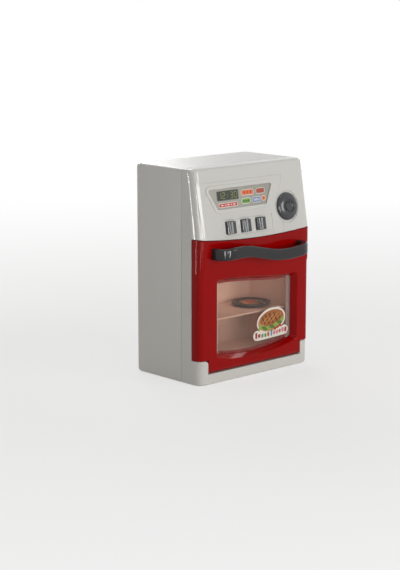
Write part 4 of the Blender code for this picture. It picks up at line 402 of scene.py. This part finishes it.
# Each digit's bars: top, upper left, upper right, middle, lower left, lower right and foot
DIGIT_BARS = {"0": (1, 1, 1, 0, 1, 1, 1), "1": (0, 0, 1, 0, 0, 1, 0), "2": (1, 0, 1, 1, 1, 0, 1),
              "3": (1, 0, 1, 1, 0, 1, 1)}
# Each bar's place from the digit's middle in half widths and quarter heights, and if it stands
BAR_PLACES = ((0, 2, 0), (-1, 1, 1), (1, 1, 1), (0, 0, 0), (-1, -1, 1), (1, -1, 1), (0, -2, 0))

printed([flat_patch(WINDOW_WIDTH + 2 * WINDOW_BORDER, WINDOW_HEIGHT + 2 * WINDOW_BORDER, 1 * MM,
                    on_panel(WINDOW_X, WINDOW_UP))], "number_window_border", "casing", dark_ink)
printed([flat_patch(WINDOW_WIDTH, WINDOW_HEIGHT, 0.6 * MM, on_panel(WINDOW_X, WINDOW_UP, 2))],
        "number_window", "casing", window_ink)

bars = []
for index, character in enumerate(SHOWN_TIME):
    digit_x = WINDOW_X + (index - (len(SHOWN_TIME) - 1) / 2) * DIGIT_PITCH
    if character == ":":
        bars += [flat_patch(DIGIT_STROKE, DIGIT_STROKE, 0.2 * MM,
                            on_panel(digit_x, WINDOW_UP + side * DIGIT_HEIGHT / 5, 3))
                 for side in (-1, 1)]
        continue
    for lit, (side, level, standing) in zip(DIGIT_BARS[character], BAR_PLACES):
        if lit:
            long_side = (DIGIT_HEIGHT / 2 if standing else DIGIT_WIDTH) - DIGIT_GAP
            size = (DIGIT_STROKE, long_side) if standing else (long_side, DIGIT_STROKE)
            middle = (digit_x + side * DIGIT_WIDTH / 2, WINDOW_UP + level * DIGIT_HEIGHT / 4)
            bars.append(flat_patch(*size, 0.3 * MM, on_panel(*middle, 3)))
printed(bars, "display_digits", "casing", digit_ink)

KEY_BORDER = 0.9 * MM
KEY_BORDER_CORNER_SHARE = 0.42
KEY_CORNER_SHARE = 0.4
# The keys' two rows and the bar, up the panel in millimetres
TOP_ROW_UP = 38.9
LOW_ROW_UP = 31.1
LAST_KEY_UP = 31.6
BAR_UP = 29.6
# Each key print: centre X, centre up, width, height, in millimetres, and its ink
KEYS = (("bar", -32.6, BAR_UP, 23.4, 3.2, red_ink),
        ("broad_key", -6.6, TOP_ROW_UP, 15.8, 4.6, orange_ink),
        ("round_key", 10.4, TOP_ROW_UP, 11, 4.6, brown_ink),
        ("low_key_1", -9.2, LOW_ROW_UP, 11.4, 4.6, green_ink),
        ("low_key_2", 4.4, LOW_ROW_UP, 11, 4.6, blue_ink),
        ("low_key_3", 14, LAST_KEY_UP, 4.2, 4.2, orange_ink))
for name, x, up, width, height, colour in KEYS:
    x, up, width, height = x * MM, up * MM, width * MM, height * MM
    printed([flat_patch(width + KEY_BORDER, height + KEY_BORDER,
                        (height + KEY_BORDER) * KEY_BORDER_CORNER_SHARE, on_panel(x, up))],
            name + "_border", "casing", white_ink)
    printed([flat_patch(width, height, height * KEY_CORNER_SHARE, on_panel(x, up, 2))],
            name, "casing", colour)


def key_mark(x, up):
    """The place of a mark on a key or on the bar, in millimetres."""
    return on_panel(x * MM, up * MM, 3)


marks = [flat_patch(width * MM, 1 * MM, 0.45 * MM, key_mark(x, BAR_UP))
         for x, width in ((-40.4, 3), (-36.2, 1.6), (-32.6, 3), (-28.8, 1.6), (-25, 3))]
marks += [flat_patch(0.8 * MM, 2.6 * MM, 0.35 * MM, key_mark(x, LOW_ROW_UP))
          for x in (1, 2.7, 4.4, 6.1, 7.8)]
printed(marks, "key_marks_white", "casing", white_ink)
marks = [oval_patch(2.4 * MM, 2.8 * MM, key_mark(x, TOP_ROW_UP)) for x in (-10.6, -6.6, -2.6)]
marks.append(oval_patch(6 * MM, 2 * MM, key_mark(10.4, TOP_ROW_UP)))
marks.append(oval_patch(1.9 * MM, 1.9 * MM, key_mark(14, LAST_KEY_UP)))
printed(marks, "key_marks_red", "casing", red_ink)
marks = [oval_patch(2.6 * MM, 2.2 * MM, key_mark(x, LOW_ROW_UP)) for x in (-12.4, -9.2, -6)]
printed(marks, "key_marks_green", "casing", deep_green_ink)


# Push buttons: three dark grey keys with an upright rib, each over its own return spring and
# switch. They come out of one moulding tool, so all are alike.
GREY = linear(64, 65, 68)
BUTTON_COUNT = 3

grey_gloss = plastic("dark grey gloss", GREY, 0.14, drift=0.06, **{"Specular IOR Level": 0.4})
for number in range(1, BUTTON_COUNT + 1):
    moulding("button_%d" % number, "push_button_%d" % number, grey_gloss,
             edge=0.15 * MM)


# Dial: a dark grey turned form with a rounded rim, a shallow dish and a raised middle with its
# pointer notch, pressed on a pin and held from behind by a screw and a washer.
moulding("knob", "dial", grey_gloss, edge=0.2 * MM)


# Rear housing: the deep white half of the case, closed by four sunk screws. Speaker slots, the
# slide switch and the flush battery cover are in its back.
case_white = plastic("case white", WHITE, 0.3, drift=0.012, grain=0.004 * MM)
moulding("rear_housing", "casing", case_white)
moulding("battery_cover", "casing", case_white, edge=0.2 * MM)


# Oven cavity: a pale pinkish-beige liner with a shelf, seen through the door's window. Both are
# satin plastic. The liner is screwed to the front frame from behind and carries the shelf.
LINER = linear(220, 186, 166)

liner_satin = plastic("liner satin", LINER, 0.42, drift=0.04, grain=0.006 * MM)
moulding("oven_liner", "casing", liner_satin, edge=0.2 * MM)
moulding("oven_shelf", "casing", liner_satin, edge=0.2 * MM)


# Dish and its printed card: a round dark dish lies on the shelf, with a card of printed food let
# into its well. The food is plain slices and leaves. A painted highlight, a pale arc, runs round
# the well's front right side.
DISH_X = 30.8 * MM
DISH_Y = 2.15 * MM
# The painted highlight: the pale arc's radius, its half width, and how far to the front right it
# starts
DISH_HIGHLIGHT_RADIUS = 13.1 * MM
DISH_HIGHLIGHT_HALF = 0.45 * MM
DISH_HIGHLIGHT_START = 4 * MM
CARD_TOP_Z = 61.2 * MM


def painted_rim_highlight(place):
    """A painted highlight: a pale arc round the well, on its front right side only."""
    x, y, z = axes(place)
    across, along = x - DISH_X, y - DISH_Y
    reach = place.maths("SQRT", across * across + along * along)
    lit_side = (across * 0.73 - along * 0.68) > DISH_HIGHLIGHT_START
    return (reach - DISH_HIGHLIGHT_RADIUS).within(DISH_HIGHLIGHT_HALF, 0.2 * MM) * lit_side


def dish_plastic():
    """Dark brown satin plastic with the painted highlight, a pale arc, round its well."""
    made, place = new_material("dish dark")
    cloud = noise(place, 90, 3)
    dark = cloud.mix(linear(50, 33, 30), linear(66, 46, 41))
    # The pale colour is the painted highlight on the well's front right side
    tint = painted_rim_highlight(place).mix(dark, linear(176, 148, 132))
    bump = place.node("Bump", {"Height": noise(place, 420) * (0.003 * MM), "Distance": 1.0})
    shader = place.node("BsdfPrincipled", {"Base Color": tint, "Normal": bump,
                                           "Roughness": cloud * 0.12 + 0.26})
    place.node("OutputMaterial", {"Surface": shader})
    return made


def on_card(x, y, layer=1):
    """The place on the food card for a patch drawn flat, from the dish's centre."""
    up = CARD_TOP_Z + (layer - 1) * PRINT_THICKNESS
    return Matrix.Translation((DISH_X + x * MM, DISH_Y + y * MM, up))


moulding("dish", "casing", dish_plastic(), edge=0.2 * MM)
moulding("food_card", "casing", ink("food card ground", linear(104, 66, 48)), edge=0)
# The food prints, each with its colour and its slices: centre x and y, length and width in
# millimetres, turn in degrees and layer
FOOD = {"card_citrus": ((212, 132, 58), ((-7.4, -2, 7, 6, 20, 1), (-6, 3.6, 6.4, 5.6, 70, 2),
                                         (-2.6, -6.6, 7, 4.4, -30, 3))),
        "card_tomato": ((186, 66, 56), ((-1.4, 1.4, 9, 7, 40, 4), (3.4, 5.6, 7.4, 6.4, 10, 5),
                                        (2, -1.2, 6, 5, -20, 6))),
        "card_salad": ((74, 96, 50), ((1.4, -6.4, 9, 3.8, -8, 7), (5.8, -4.4, 7.4, 3.4, 34, 8),
                                      (-3.6, -3.4, 6, 2.6, -38, 9)))}
for name, (colour, shapes) in FOOD.items():
    slices = [oval_patch(long * MM, wide * MM, on_card(x, y, layer), radians(turn))
              for x, y, long, wide, turn, layer in shapes]
    food_ink = ink(name.replace("_", " ") + " ink", linear(*colour), 0.4)
    printed(slices, name, "casing", food_ink)


# Lamp: a clear lens pressed into the liner's ceiling, with a white diode above it on a small board.
# The lens is clear plastic, and so is the window's pane further down.
FACE_SHINE = 0.02
EDGE_SHINE = 0.96
EDGE_SHINE_POWER = 5


def clear_plastic(name, colour, dull=0.04, frost=None):
    """Clear plastic that lets light through untouched: a tinted sheet under a thin gloss. frost
    tells how milky the sheet is from place to place."""
    made, place = new_material(name)
    smear = noise(place, 60, 4)
    ripple = place.node("Bump", {"Height": noise(place, 60, 1) * (0.02 * MM), "Distance": 1.0})
    sheet = place.node("BsdfTransparent", {"Color": colour})
    if frost:
        milk = place.node("BsdfDiffuse", {"Color": linear(196, 182, 172)})
        sheet = place.node("MixShader", {0: frost(place), 1: sheet, 2: milk})
    gloss = place.node("BsdfGlossy", {"Color": (1, 1, 1, 1), "Roughness": smear * 0.06 + dull,
                                      "Normal": ripple})
    grazing = place.node("LayerWeight", {"Blend": 0.5}, output="Facing")
    shine = place.maths("POWER", grazing, EDGE_SHINE_POWER) * EDGE_SHINE + FACE_SHINE
    both = place.node("MixShader", {0: shine, 1: sheet, 2: gloss})
    place.node("OutputMaterial", {"Surface": both})
    return made


lens_clear = clear_plastic("lens clear", (0.92, 0.91, 0.88, 1))
moulding("lamp_lens", "casing", lens_clear, edge=0.1 * MM)
moulding("lamp_led", "casing", plastic("diode white", linear(235, 232, 214), 0.2),
         edge=0.1 * MM)


# Door: a glossy red shell that drops on two pins at its foot. Its window funnel leads in to a
# clear pane, held from behind by a red inner frame with four screws. The pane's two upright
# borders are slightly milky, each with a fine line where it was bent.
RED = linear(148, 4, 4)
PANE_LEFT_LINE_X = -43 * MM
PANE_RIGHT_LINE_X = 48.6 * MM
PANE_LINE_HALF = 0.18 * MM
PANE_MILK = 0.3
PANE_MOST_MILK = 0.9
PANE_HAZE = 0.04


def pane_frost(place):
    """The pane's milky borders and the fine lines along them."""
    x, y, z = axes(place)
    borders = (x < PANE_LEFT_LINE_X) + (x > PANE_RIGHT_LINE_X)
    lines = (x - PANE_LEFT_LINE_X).within(PANE_LINE_HALF, PANE_LINE_HALF)
    lines = lines + (x - PANE_RIGHT_LINE_X).within(PANE_LINE_HALF, PANE_LINE_HALF)
    haze = noise(place, 40, 3) * PANE_HAZE
    return place.maths("MINIMUM", (borders + lines) * PANE_MILK + haze, PANE_MOST_MILK)


door_red = plastic("door red", RED, 0.09, drift=0.05, skin=0.002 * MM,
                   **{"Specular IOR Level": 0.1})
moulding("door_shell", "door", door_red, edge=0.3 * MM)
moulding("door_inner_frame", "door", door_red, edge=0.2 * MM)
pane_clear = clear_plastic("pane clear", (0.95, 0.92, 0.90, 1), 0.03, pane_frost)
moulding("window_pane", "door", pane_clear, edge=0.1 * MM)


# Sticker: a foil die-cut round its print and stuck to the pane's front. Its white border runs round
# a plain lattice pie on leaves and a row of coloured marks.
STICKER_X = 26.7 * MM
STICKER_Z = 45.6 * MM
STICKER_FRONT_Y = -29.1 * MM
STICKER_BACK_Y = -28.8 * MM


def on_pane(x, up, layer=1):
    """The place on the sticker for a patch drawn flat, in millimetres from the sticker's centre."""
    y = STICKER_FRONT_Y - (layer - 1) * PRINT_THICKNESS
    spot = Vector((STICKER_X + x * MM, y, STICKER_Z + up * MM))
    return Matrix.Translation(spot) @ Matrix.Rotation(radians(90), 4, "X")


def die_cut(shapes):
    """One foil from shapes that overlap."""
    foil = shapes[0]
    for shape in shapes[1:]:
        union = foil.modifiers.new("union", "BOOLEAN")
        union.operation, union.solver, union.object = "UNION", "EXACT", shape
    bpy.context.view_layer.objects.active = foil
    apply_modifiers(foil)
    for shape in shapes[1:]:
        bpy.data.objects.remove(shape)
    return foil


FOIL = STICKER_BACK_Y - STICKER_FRONT_Y
PLATE_STEPS = 32
foil_back = Matrix.Translation((0, FOIL, 0))
# Each oval of the foil: centre x and up, length and width in millimetres, turn in degrees, corners
foil_plate, *foil_ends = [
    oval_patch(long * MM, wide * MM, foil_back @ on_pane(x, up), radians(turn), FOIL, steps)
    for x, up, long, wide, turn, steps in (
        (0.6, 2.8, 39, 24.6, 7, 40), (-18.4, -9.9, 10.6, 9.8, 0, 24), (18.6, -9, 10.4, 9.4, 0, 24),
        (9.4, 11.4, 9, 7, -20, 24))]
foil_strip = flat_patch(40 * MM, 8.6 * MM, 3 * MM, foil_back @ on_pane(0, -10.2), radians(2), FOIL)
foil = die_cut([foil_plate, foil_strip, *foil_ends])
foil.name = foil.data.name = "sticker_foil"
wear(foil, ink("sticker white", linear(226, 218, 204), 0.25))
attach(foil, "door")
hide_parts("window_sticker")
printed([oval_patch(35.6 * MM, 20.6 * MM, on_pane(0.6, 2.6), radians(7), steps=PLATE_STEPS)],
        "sticker_plate", "door", ink("sticker crust ink", linear(188, 132, 88)))
printed([oval_patch(32 * MM, 15 * MM, on_pane(1, 5.2, 2), radians(7), steps=PLATE_STEPS)],
        "sticker_pie", "door", ink("sticker pie ink", linear(156, 86, 26)))
# The pie's lattice: two sets of strips across its slope, each with its centre x and length in
# millimetres
LATTICE_UP = 5
LATTICE_SLOPE = 0.12
strips = [flat_patch(1.5 * MM, long * MM, 0.7 * MM,
                     on_pane(x, LATTICE_UP + x * LATTICE_SLOPE, 3), radians(30))
          for x, long in ((-10, 8), (-5, 11), (0.4, 12), (6, 11), (11, 8))]
printed(strips, "sticker_strips", "door", ink("sticker strip ink", linear(62, 33, 16)))
strips = [flat_patch(1.1 * MM, long * MM, 0.5 * MM,
                     on_pane(x, LATTICE_UP + x * LATTICE_SLOPE, 4), radians(-52))
          for x, long in ((-7.6, 8), (-1.2, 13), (5.6, 13), (11.6, 7))]
printed(strips, "sticker_glaze", "door", ink("sticker glaze ink", linear(196, 124, 46)))
# The leaves: centre x and up, length and width in millimetres, turn in degrees and layer
LEAVES = {"sticker_leaves_pale": ((136, 162, 58), (
              (-13, -2.4, 9, 4.4, 24, 5), (-3.4, -4.6, 9.4, 4.6, 12, 6),
              (6.6, -2.4, 9.4, 4.4, 20, 7), (15, 1.6, 8, 4, 44, 8))),
          "sticker_leaves_deep": ((78, 112, 34), (
              (-8.6, -4, 8.6, 3.6, -26, 9), (1.6, -3.6, 8.6, 3.6, -14, 10),
              (11.6, -0.6, 8, 3.4, -8, 11)))}
LEAF_BOW = 0.35
for name, (colour, shapes) in LEAVES.items():
    leaves = [oval_patch(long * MM, wide * MM, on_pane(x, up, layer), radians(turn), bow=LEAF_BOW)
              for x, up, long, wide, turn, layer in shapes]
    printed(leaves, name, "door", ink(name.replace("_", " ") + " ink", linear(*colour)))
berries = [oval_patch(3.2 * MM, 3 * MM, on_pane(x, up, 12))
           for x, up in ((5.8, -6), (9.2, -5), (12.6, -3.8))]
printed(berries, "sticker_berries", "door", ink("sticker berry ink", linear(168, 54, 24)))
# The row of marks along the sticker's foot: centre x, centre up, width and height in millimetres
MARKS = {"dark_red": ((148, 32, 48), ((-19.6, -9.8, 2.6, 6), (-15.6, -10.4, 3.4, 3.6),
                                      (20.4, -9, 2.8, 5))),
         "green": ((84, 140, 76), ((-11.2, -10.8, 3, 4), (-7.2, -10.8, 3, 4))),
         "rust": ((176, 88, 60), ((-3.2, -10.4, 3, 4.6), (12.4, -9.4, 3, 3.6))),
         "blue": ((84, 132, 170), ((1, -9.6, 2.2, 6.4),)),
         "pink": ((196, 122, 134), ((4.8, -10, 3.2, 4), (8.6, -9.8, 3, 4), (16.4, -8.8, 3.2, 4.6)))}
for name, (colour, shapes) in MARKS.items():
    marks = [flat_patch(wide * MM, high * MM, wide * 0.42 * MM, on_pane(x, up))
             for x, up, wide, high in shapes]
    printed(marks, "sticker_marks_" + name, "door",
            ink("sticker " + name.replace("_", " ") + " ink", linear(*colour)))


# Handle: a dark grey bowed bar whose feet sit on the door's face, held from inside by two screws.
# It is glossy plastic in one moulding, with a wave that rises at the left and dips at the right.
HANDLE_LIFT = 2.4 * MM
HANDLE_LIFT_X = -24 * MM
HANDLE_DIP = 0.8 * MM
HANDLE_DIP_X = 23.6 * MM
HANDLE_WAVE_HALF = 34 * MM


def swell(distance):
    """1 at the middle of a wave, falling smoothly to 0 at its ends."""
    return 0.5 + 0.5 * cos(pi * min(1, abs(distance) / HANDLE_WAVE_HALF))


handle_grey = plastic("handle grey", linear(44, 42, 44), 0.12, drift=0.08,
                      **{"Specular IOR Level": 0.3})
handle = moulding("handle", "door", handle_grey, edge=0)
for point in handle.data.vertices:
    lift = HANDLE_LIFT * swell(point.co.x - HANDLE_LIFT_X)
    point.co.z += lift - HANDLE_DIP * swell(point.co.x - HANDLE_DIP_X)
handle.data.update()


# Screws that show on the back and inside the door: zinc-plated pan heads, each with a rounded rim
# and a cross recess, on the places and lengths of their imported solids.
SCREW_HEAD_RADIUS = 2.2 * MM
SCREW_HEAD_HEIGHT = 1.4 * MM
SCREW_FACE_SHARE = 0.6
SCREW_RIM_DROP = 0.12 * MM
SCREW_TIP_SHARE = 0.3
SCREW_TURN_PER_METRE = 300
SCREW_SHANK_RADIUS = 1.1 * MM
RECESS_LENGTH = 2.4 * MM
RECESS_WIDTH = 0.55 * MM
RECESS_DEPTH = 0.9 * MM
SCREW_SIDES = 24


def widen(share, drop):
    """Draws the selected face on to the next ring of a turned form."""
    bpy.ops.mesh.extrude_region_move(TRANSFORM_OT_translate={"value": (0, 0, -drop)})
    bpy.ops.transform.resize(value=(share, share, 1))


def cross_screw(node, body, material):
    """A screw whose head faces the back, in the space of the node's solid."""
    corners = [Vector(corner) for corner in frame["nodes"][node].bound_box]
    low = Vector([min(corner[axis] for corner in corners) for axis in range(3)])
    high = Vector([max(corner[axis] for corner in corners) for axis in range(3)])
    bpy.ops.object.select_all(action="DESELECT")
    bpy.ops.mesh.primitive_circle_add(vertices=SCREW_SIDES, fill_type="NGON",
                                      radius=SCREW_HEAD_RADIUS * SCREW_FACE_SHARE)
    screw = bpy.context.object
    bpy.ops.object.mode_set(mode="EDIT")
    bpy.ops.mesh.select_all(action="SELECT")
    widen(1.4, SCREW_RIM_DROP)
    widen(1.19, SCREW_HEAD_HEIGHT * 0.4)
    widen(1, SCREW_HEAD_HEIGHT * 0.6 - SCREW_RIM_DROP)
    widen(SCREW_SHANK_RADIUS / SCREW_HEAD_RADIUS, 0)
    widen(1, high.y - low.y - SCREW_HEAD_HEIGHT - SCREW_SHANK_RADIUS)
    widen(SCREW_TIP_SHARE, SCREW_SHANK_RADIUS)
    bpy.ops.mesh.select_all(action="SELECT")
    bpy.ops.mesh.normals_make_consistent(inside=False)
    bpy.ops.object.mode_set(mode="OBJECT")
    for size in ((RECESS_LENGTH, RECESS_WIDTH), (RECESS_WIDTH, RECESS_LENGTH)):
        bpy.ops.mesh.primitive_cube_add(size=1, scale=(*size, RECESS_DEPTH * 2))
        cutter = bpy.context.object
        bpy.context.view_layer.objects.active = screw
        recess = screw.modifiers.new("recess", "BOOLEAN")
        recess.operation, recess.solver, recess.object = "DIFFERENCE", "EXACT", cutter
        apply_modifiers(screw)
        bpy.data.objects.remove(cutter)
    bpy.ops.object.select_all(action="DESELECT")
    screw.select_set(True)
    middle = (low + high) / 2
    seat = Matrix.Translation((middle.x, high.y, middle.z))
    turned = Matrix.Rotation(middle.x * SCREW_TURN_PER_METRE, 4, "Z")
    screw.matrix_world = seat @ Matrix.Rotation(radians(-90), 4, "X") @ turned
    bpy.ops.object.transform_apply()
    bpy.ops.object.shade_smooth_by_angle(angle=radians(32))
    screw.name = screw.data.name = node + "_form"
    wear(screw, material)
    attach(screw, body)
    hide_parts(node)


steel = plastic("zinc-plated steel", linear(196, 196, 198), 0.3, drift=0.06, Metallic=1.0)
cross_screw("battery_cover_screw", "casing", steel)
for kind, body in (("case", "casing"), ("inner_frame", "door")):
    for number in (1, 2, 3, 4):
        cross_screw("%s_screw_%d" % (kind, number), body, steel)


# Fasteners, springs, cells and boards inside the case, of steel, printed board and black plastic.
# They don't show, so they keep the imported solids' forms and get their slot's material alone.
board_green = plastic("board green", linear(34, 108, 62), 0.4, drift=0.08)
black_satin = plastic("black satin", linear(28, 28, 30), 0.4, drift=0.1)
cell_sleeve = plastic("cell sleeve", linear(58, 88, 150), 0.25, drift=0.05)
paper_black = plastic("black paper", linear(44, 44, 44), 0.8, drift=0.12, grain=0.02 * MM)
materials_by_slot = {"steel": steel, "board_green": board_green, "black_plastic": black_satin,
                     "cell_sleeve": cell_sleeve, "paper_black": paper_black,
                     "grey_plastic": grey_gloss, "clear_plastic": lens_clear}
for part in frame["record"]["subparts"]:
    solid = frame["nodes"][part["node"]]
    if not solid.hide_render and part["node"] != "display_label":
        wear(solid, materials_by_slot[part["material_slot"]])


# Studio: a wide pale floor that fades to white, under soft lamps in front, behind and above. Three
# narrow strips draw upright glints, and two tiny lamps stand for the oven's own.
AIM = (0, -0.01, 0.1)
OVEN_LAMP_SIZE = 0.012
STRIP_DISTANCE = 0.6
STRIP_AIM = (-0.06, -0.04, 0.1)
FLOOR_SIZE = 60
FLOOR_FADE_START = 0.25
FLOOR_FADE_END = 1.2
FLOOR_NEAR_GLOW = 0.6
SKY_LIGHT = 0.3
CAMERA_PLACE = (-1.0506, -1.0895, 0.3815)
CAMERA_TURN = (radians(78.82), 0, radians(-42.86))
LENS = 101.03
SENSOR_WIDTH = 36


def softbox(name, place, aim, width, height, power):
    bpy.ops.object.light_add(type="AREA", location=place)
    lamp = bpy.context.object
    lamp.name = name
    lamp.data.shape, lamp.data.size, lamp.data.size_y = "RECTANGLE", width, height
    lamp.data.energy = power
    lamp.visible_camera = False
    lamp.rotation_euler = (Vector(aim) - Vector(place)).to_track_quat("-Z", "Y").to_euler()
    return lamp


softbox("key", (0.55, -1.45, 0.38), AIM, 0.6, 0.5, 8)
softbox("left fill", (-0.55, -1.4, 0.2), AIM, 0.5, 0.36, 4.4)
softbox("back fill", (0.7, 1.4, 0.8), AIM, 0.8, 0.6, 6)
softbox("oven lamp", (0.03, -0.018, 0.116), (-0.025, 0.028, 0.088), OVEN_LAMP_SIZE,
        OVEN_LAMP_SIZE, 0.012)
softbox("oven lamp below", (0.02, -0.018, 0.052), (-0.02, 0.028, 0.036), OVEN_LAMP_SIZE,
        OVEN_LAMP_SIZE, 0.0035)
softbox("top", (-0.1, 0.1, 1.7), AIM, 1.0, 1.0, 5)
# The strips show in gloss alone, so that they throw no patch of light on the floor
for name, left, power in (("strip behind", 116, 1.2), ("strip left", 46, 1),
                          ("strip front", 14, 1)):
    spot = (-STRIP_DISTANCE * sin(radians(left)), -STRIP_DISTANCE * cos(radians(left)), AIM[2])
    softbox(name, spot, STRIP_AIM, 0.02, 0.3, power).visible_diffuse = False

bpy.ops.mesh.primitive_plane_add(size=FLOOR_SIZE)
floor = bpy.context.object
floor.name = "floor"
made, place = new_material("pale floor")
tone = noise(place, 3, 2).mix(linear(232, 231, 229), linear(238, 237, 235))
shader = place.node("BsdfDiffuse", {"Color": tone})
glow = place.node("Emission", {"Color": (1, 1, 1, 1), "Strength": 1.0})


def seen_directly(surface):
    """1 for rays from the camera, from gloss and through clear plastic, else 0."""
    ways = [surface.node("LightPath", output=name)
            for name in ("Is Camera Ray", "Is Glossy Ray", "Is Transmission Ray")]
    return surface.maths("MAXIMUM", surface.maths("MAXIMUM", ways[0], ways[1]), ways[2])


away = place.node("VectorMath", {0: place}, {"operation": "LENGTH"}, 1)
far = place.node("MapRange", {"Value": away, "From Min": FLOOR_FADE_START,
                              "From Max": FLOOR_FADE_END})
share = seen_directly(place) * (far * (1 - FLOOR_NEAR_GLOW) + FLOOR_NEAR_GLOW)
both = place.node("MixShader", {0: share, 1: shader, 2: glow})
place.node("OutputMaterial", {"Surface": both})
floor.data.materials.append(made)

world = bpy.data.worlds.new("studio")
bpy.context.scene.world = world
world.use_nodes = True
world.node_tree.nodes.clear()
sky = Signal(world.node_tree)
strength = seen_directly(sky) * (1 - SKY_LIGHT) + SKY_LIGHT
light = sky.node("Background", {"Color": (1, 1, 1, 1), "Strength": strength})
sky.node("OutputWorld", {"Surface": light})

bpy.ops.object.camera_add(location=CAMERA_PLACE, rotation=CAMERA_TURN)
camera = bpy.context.object
camera.data.lens = LENS
camera.data.sensor_width = SENSOR_WIDTH
bpy.context.scene.camera = camera
bpy.context.scene.view_settings.view_transform = "Standard"
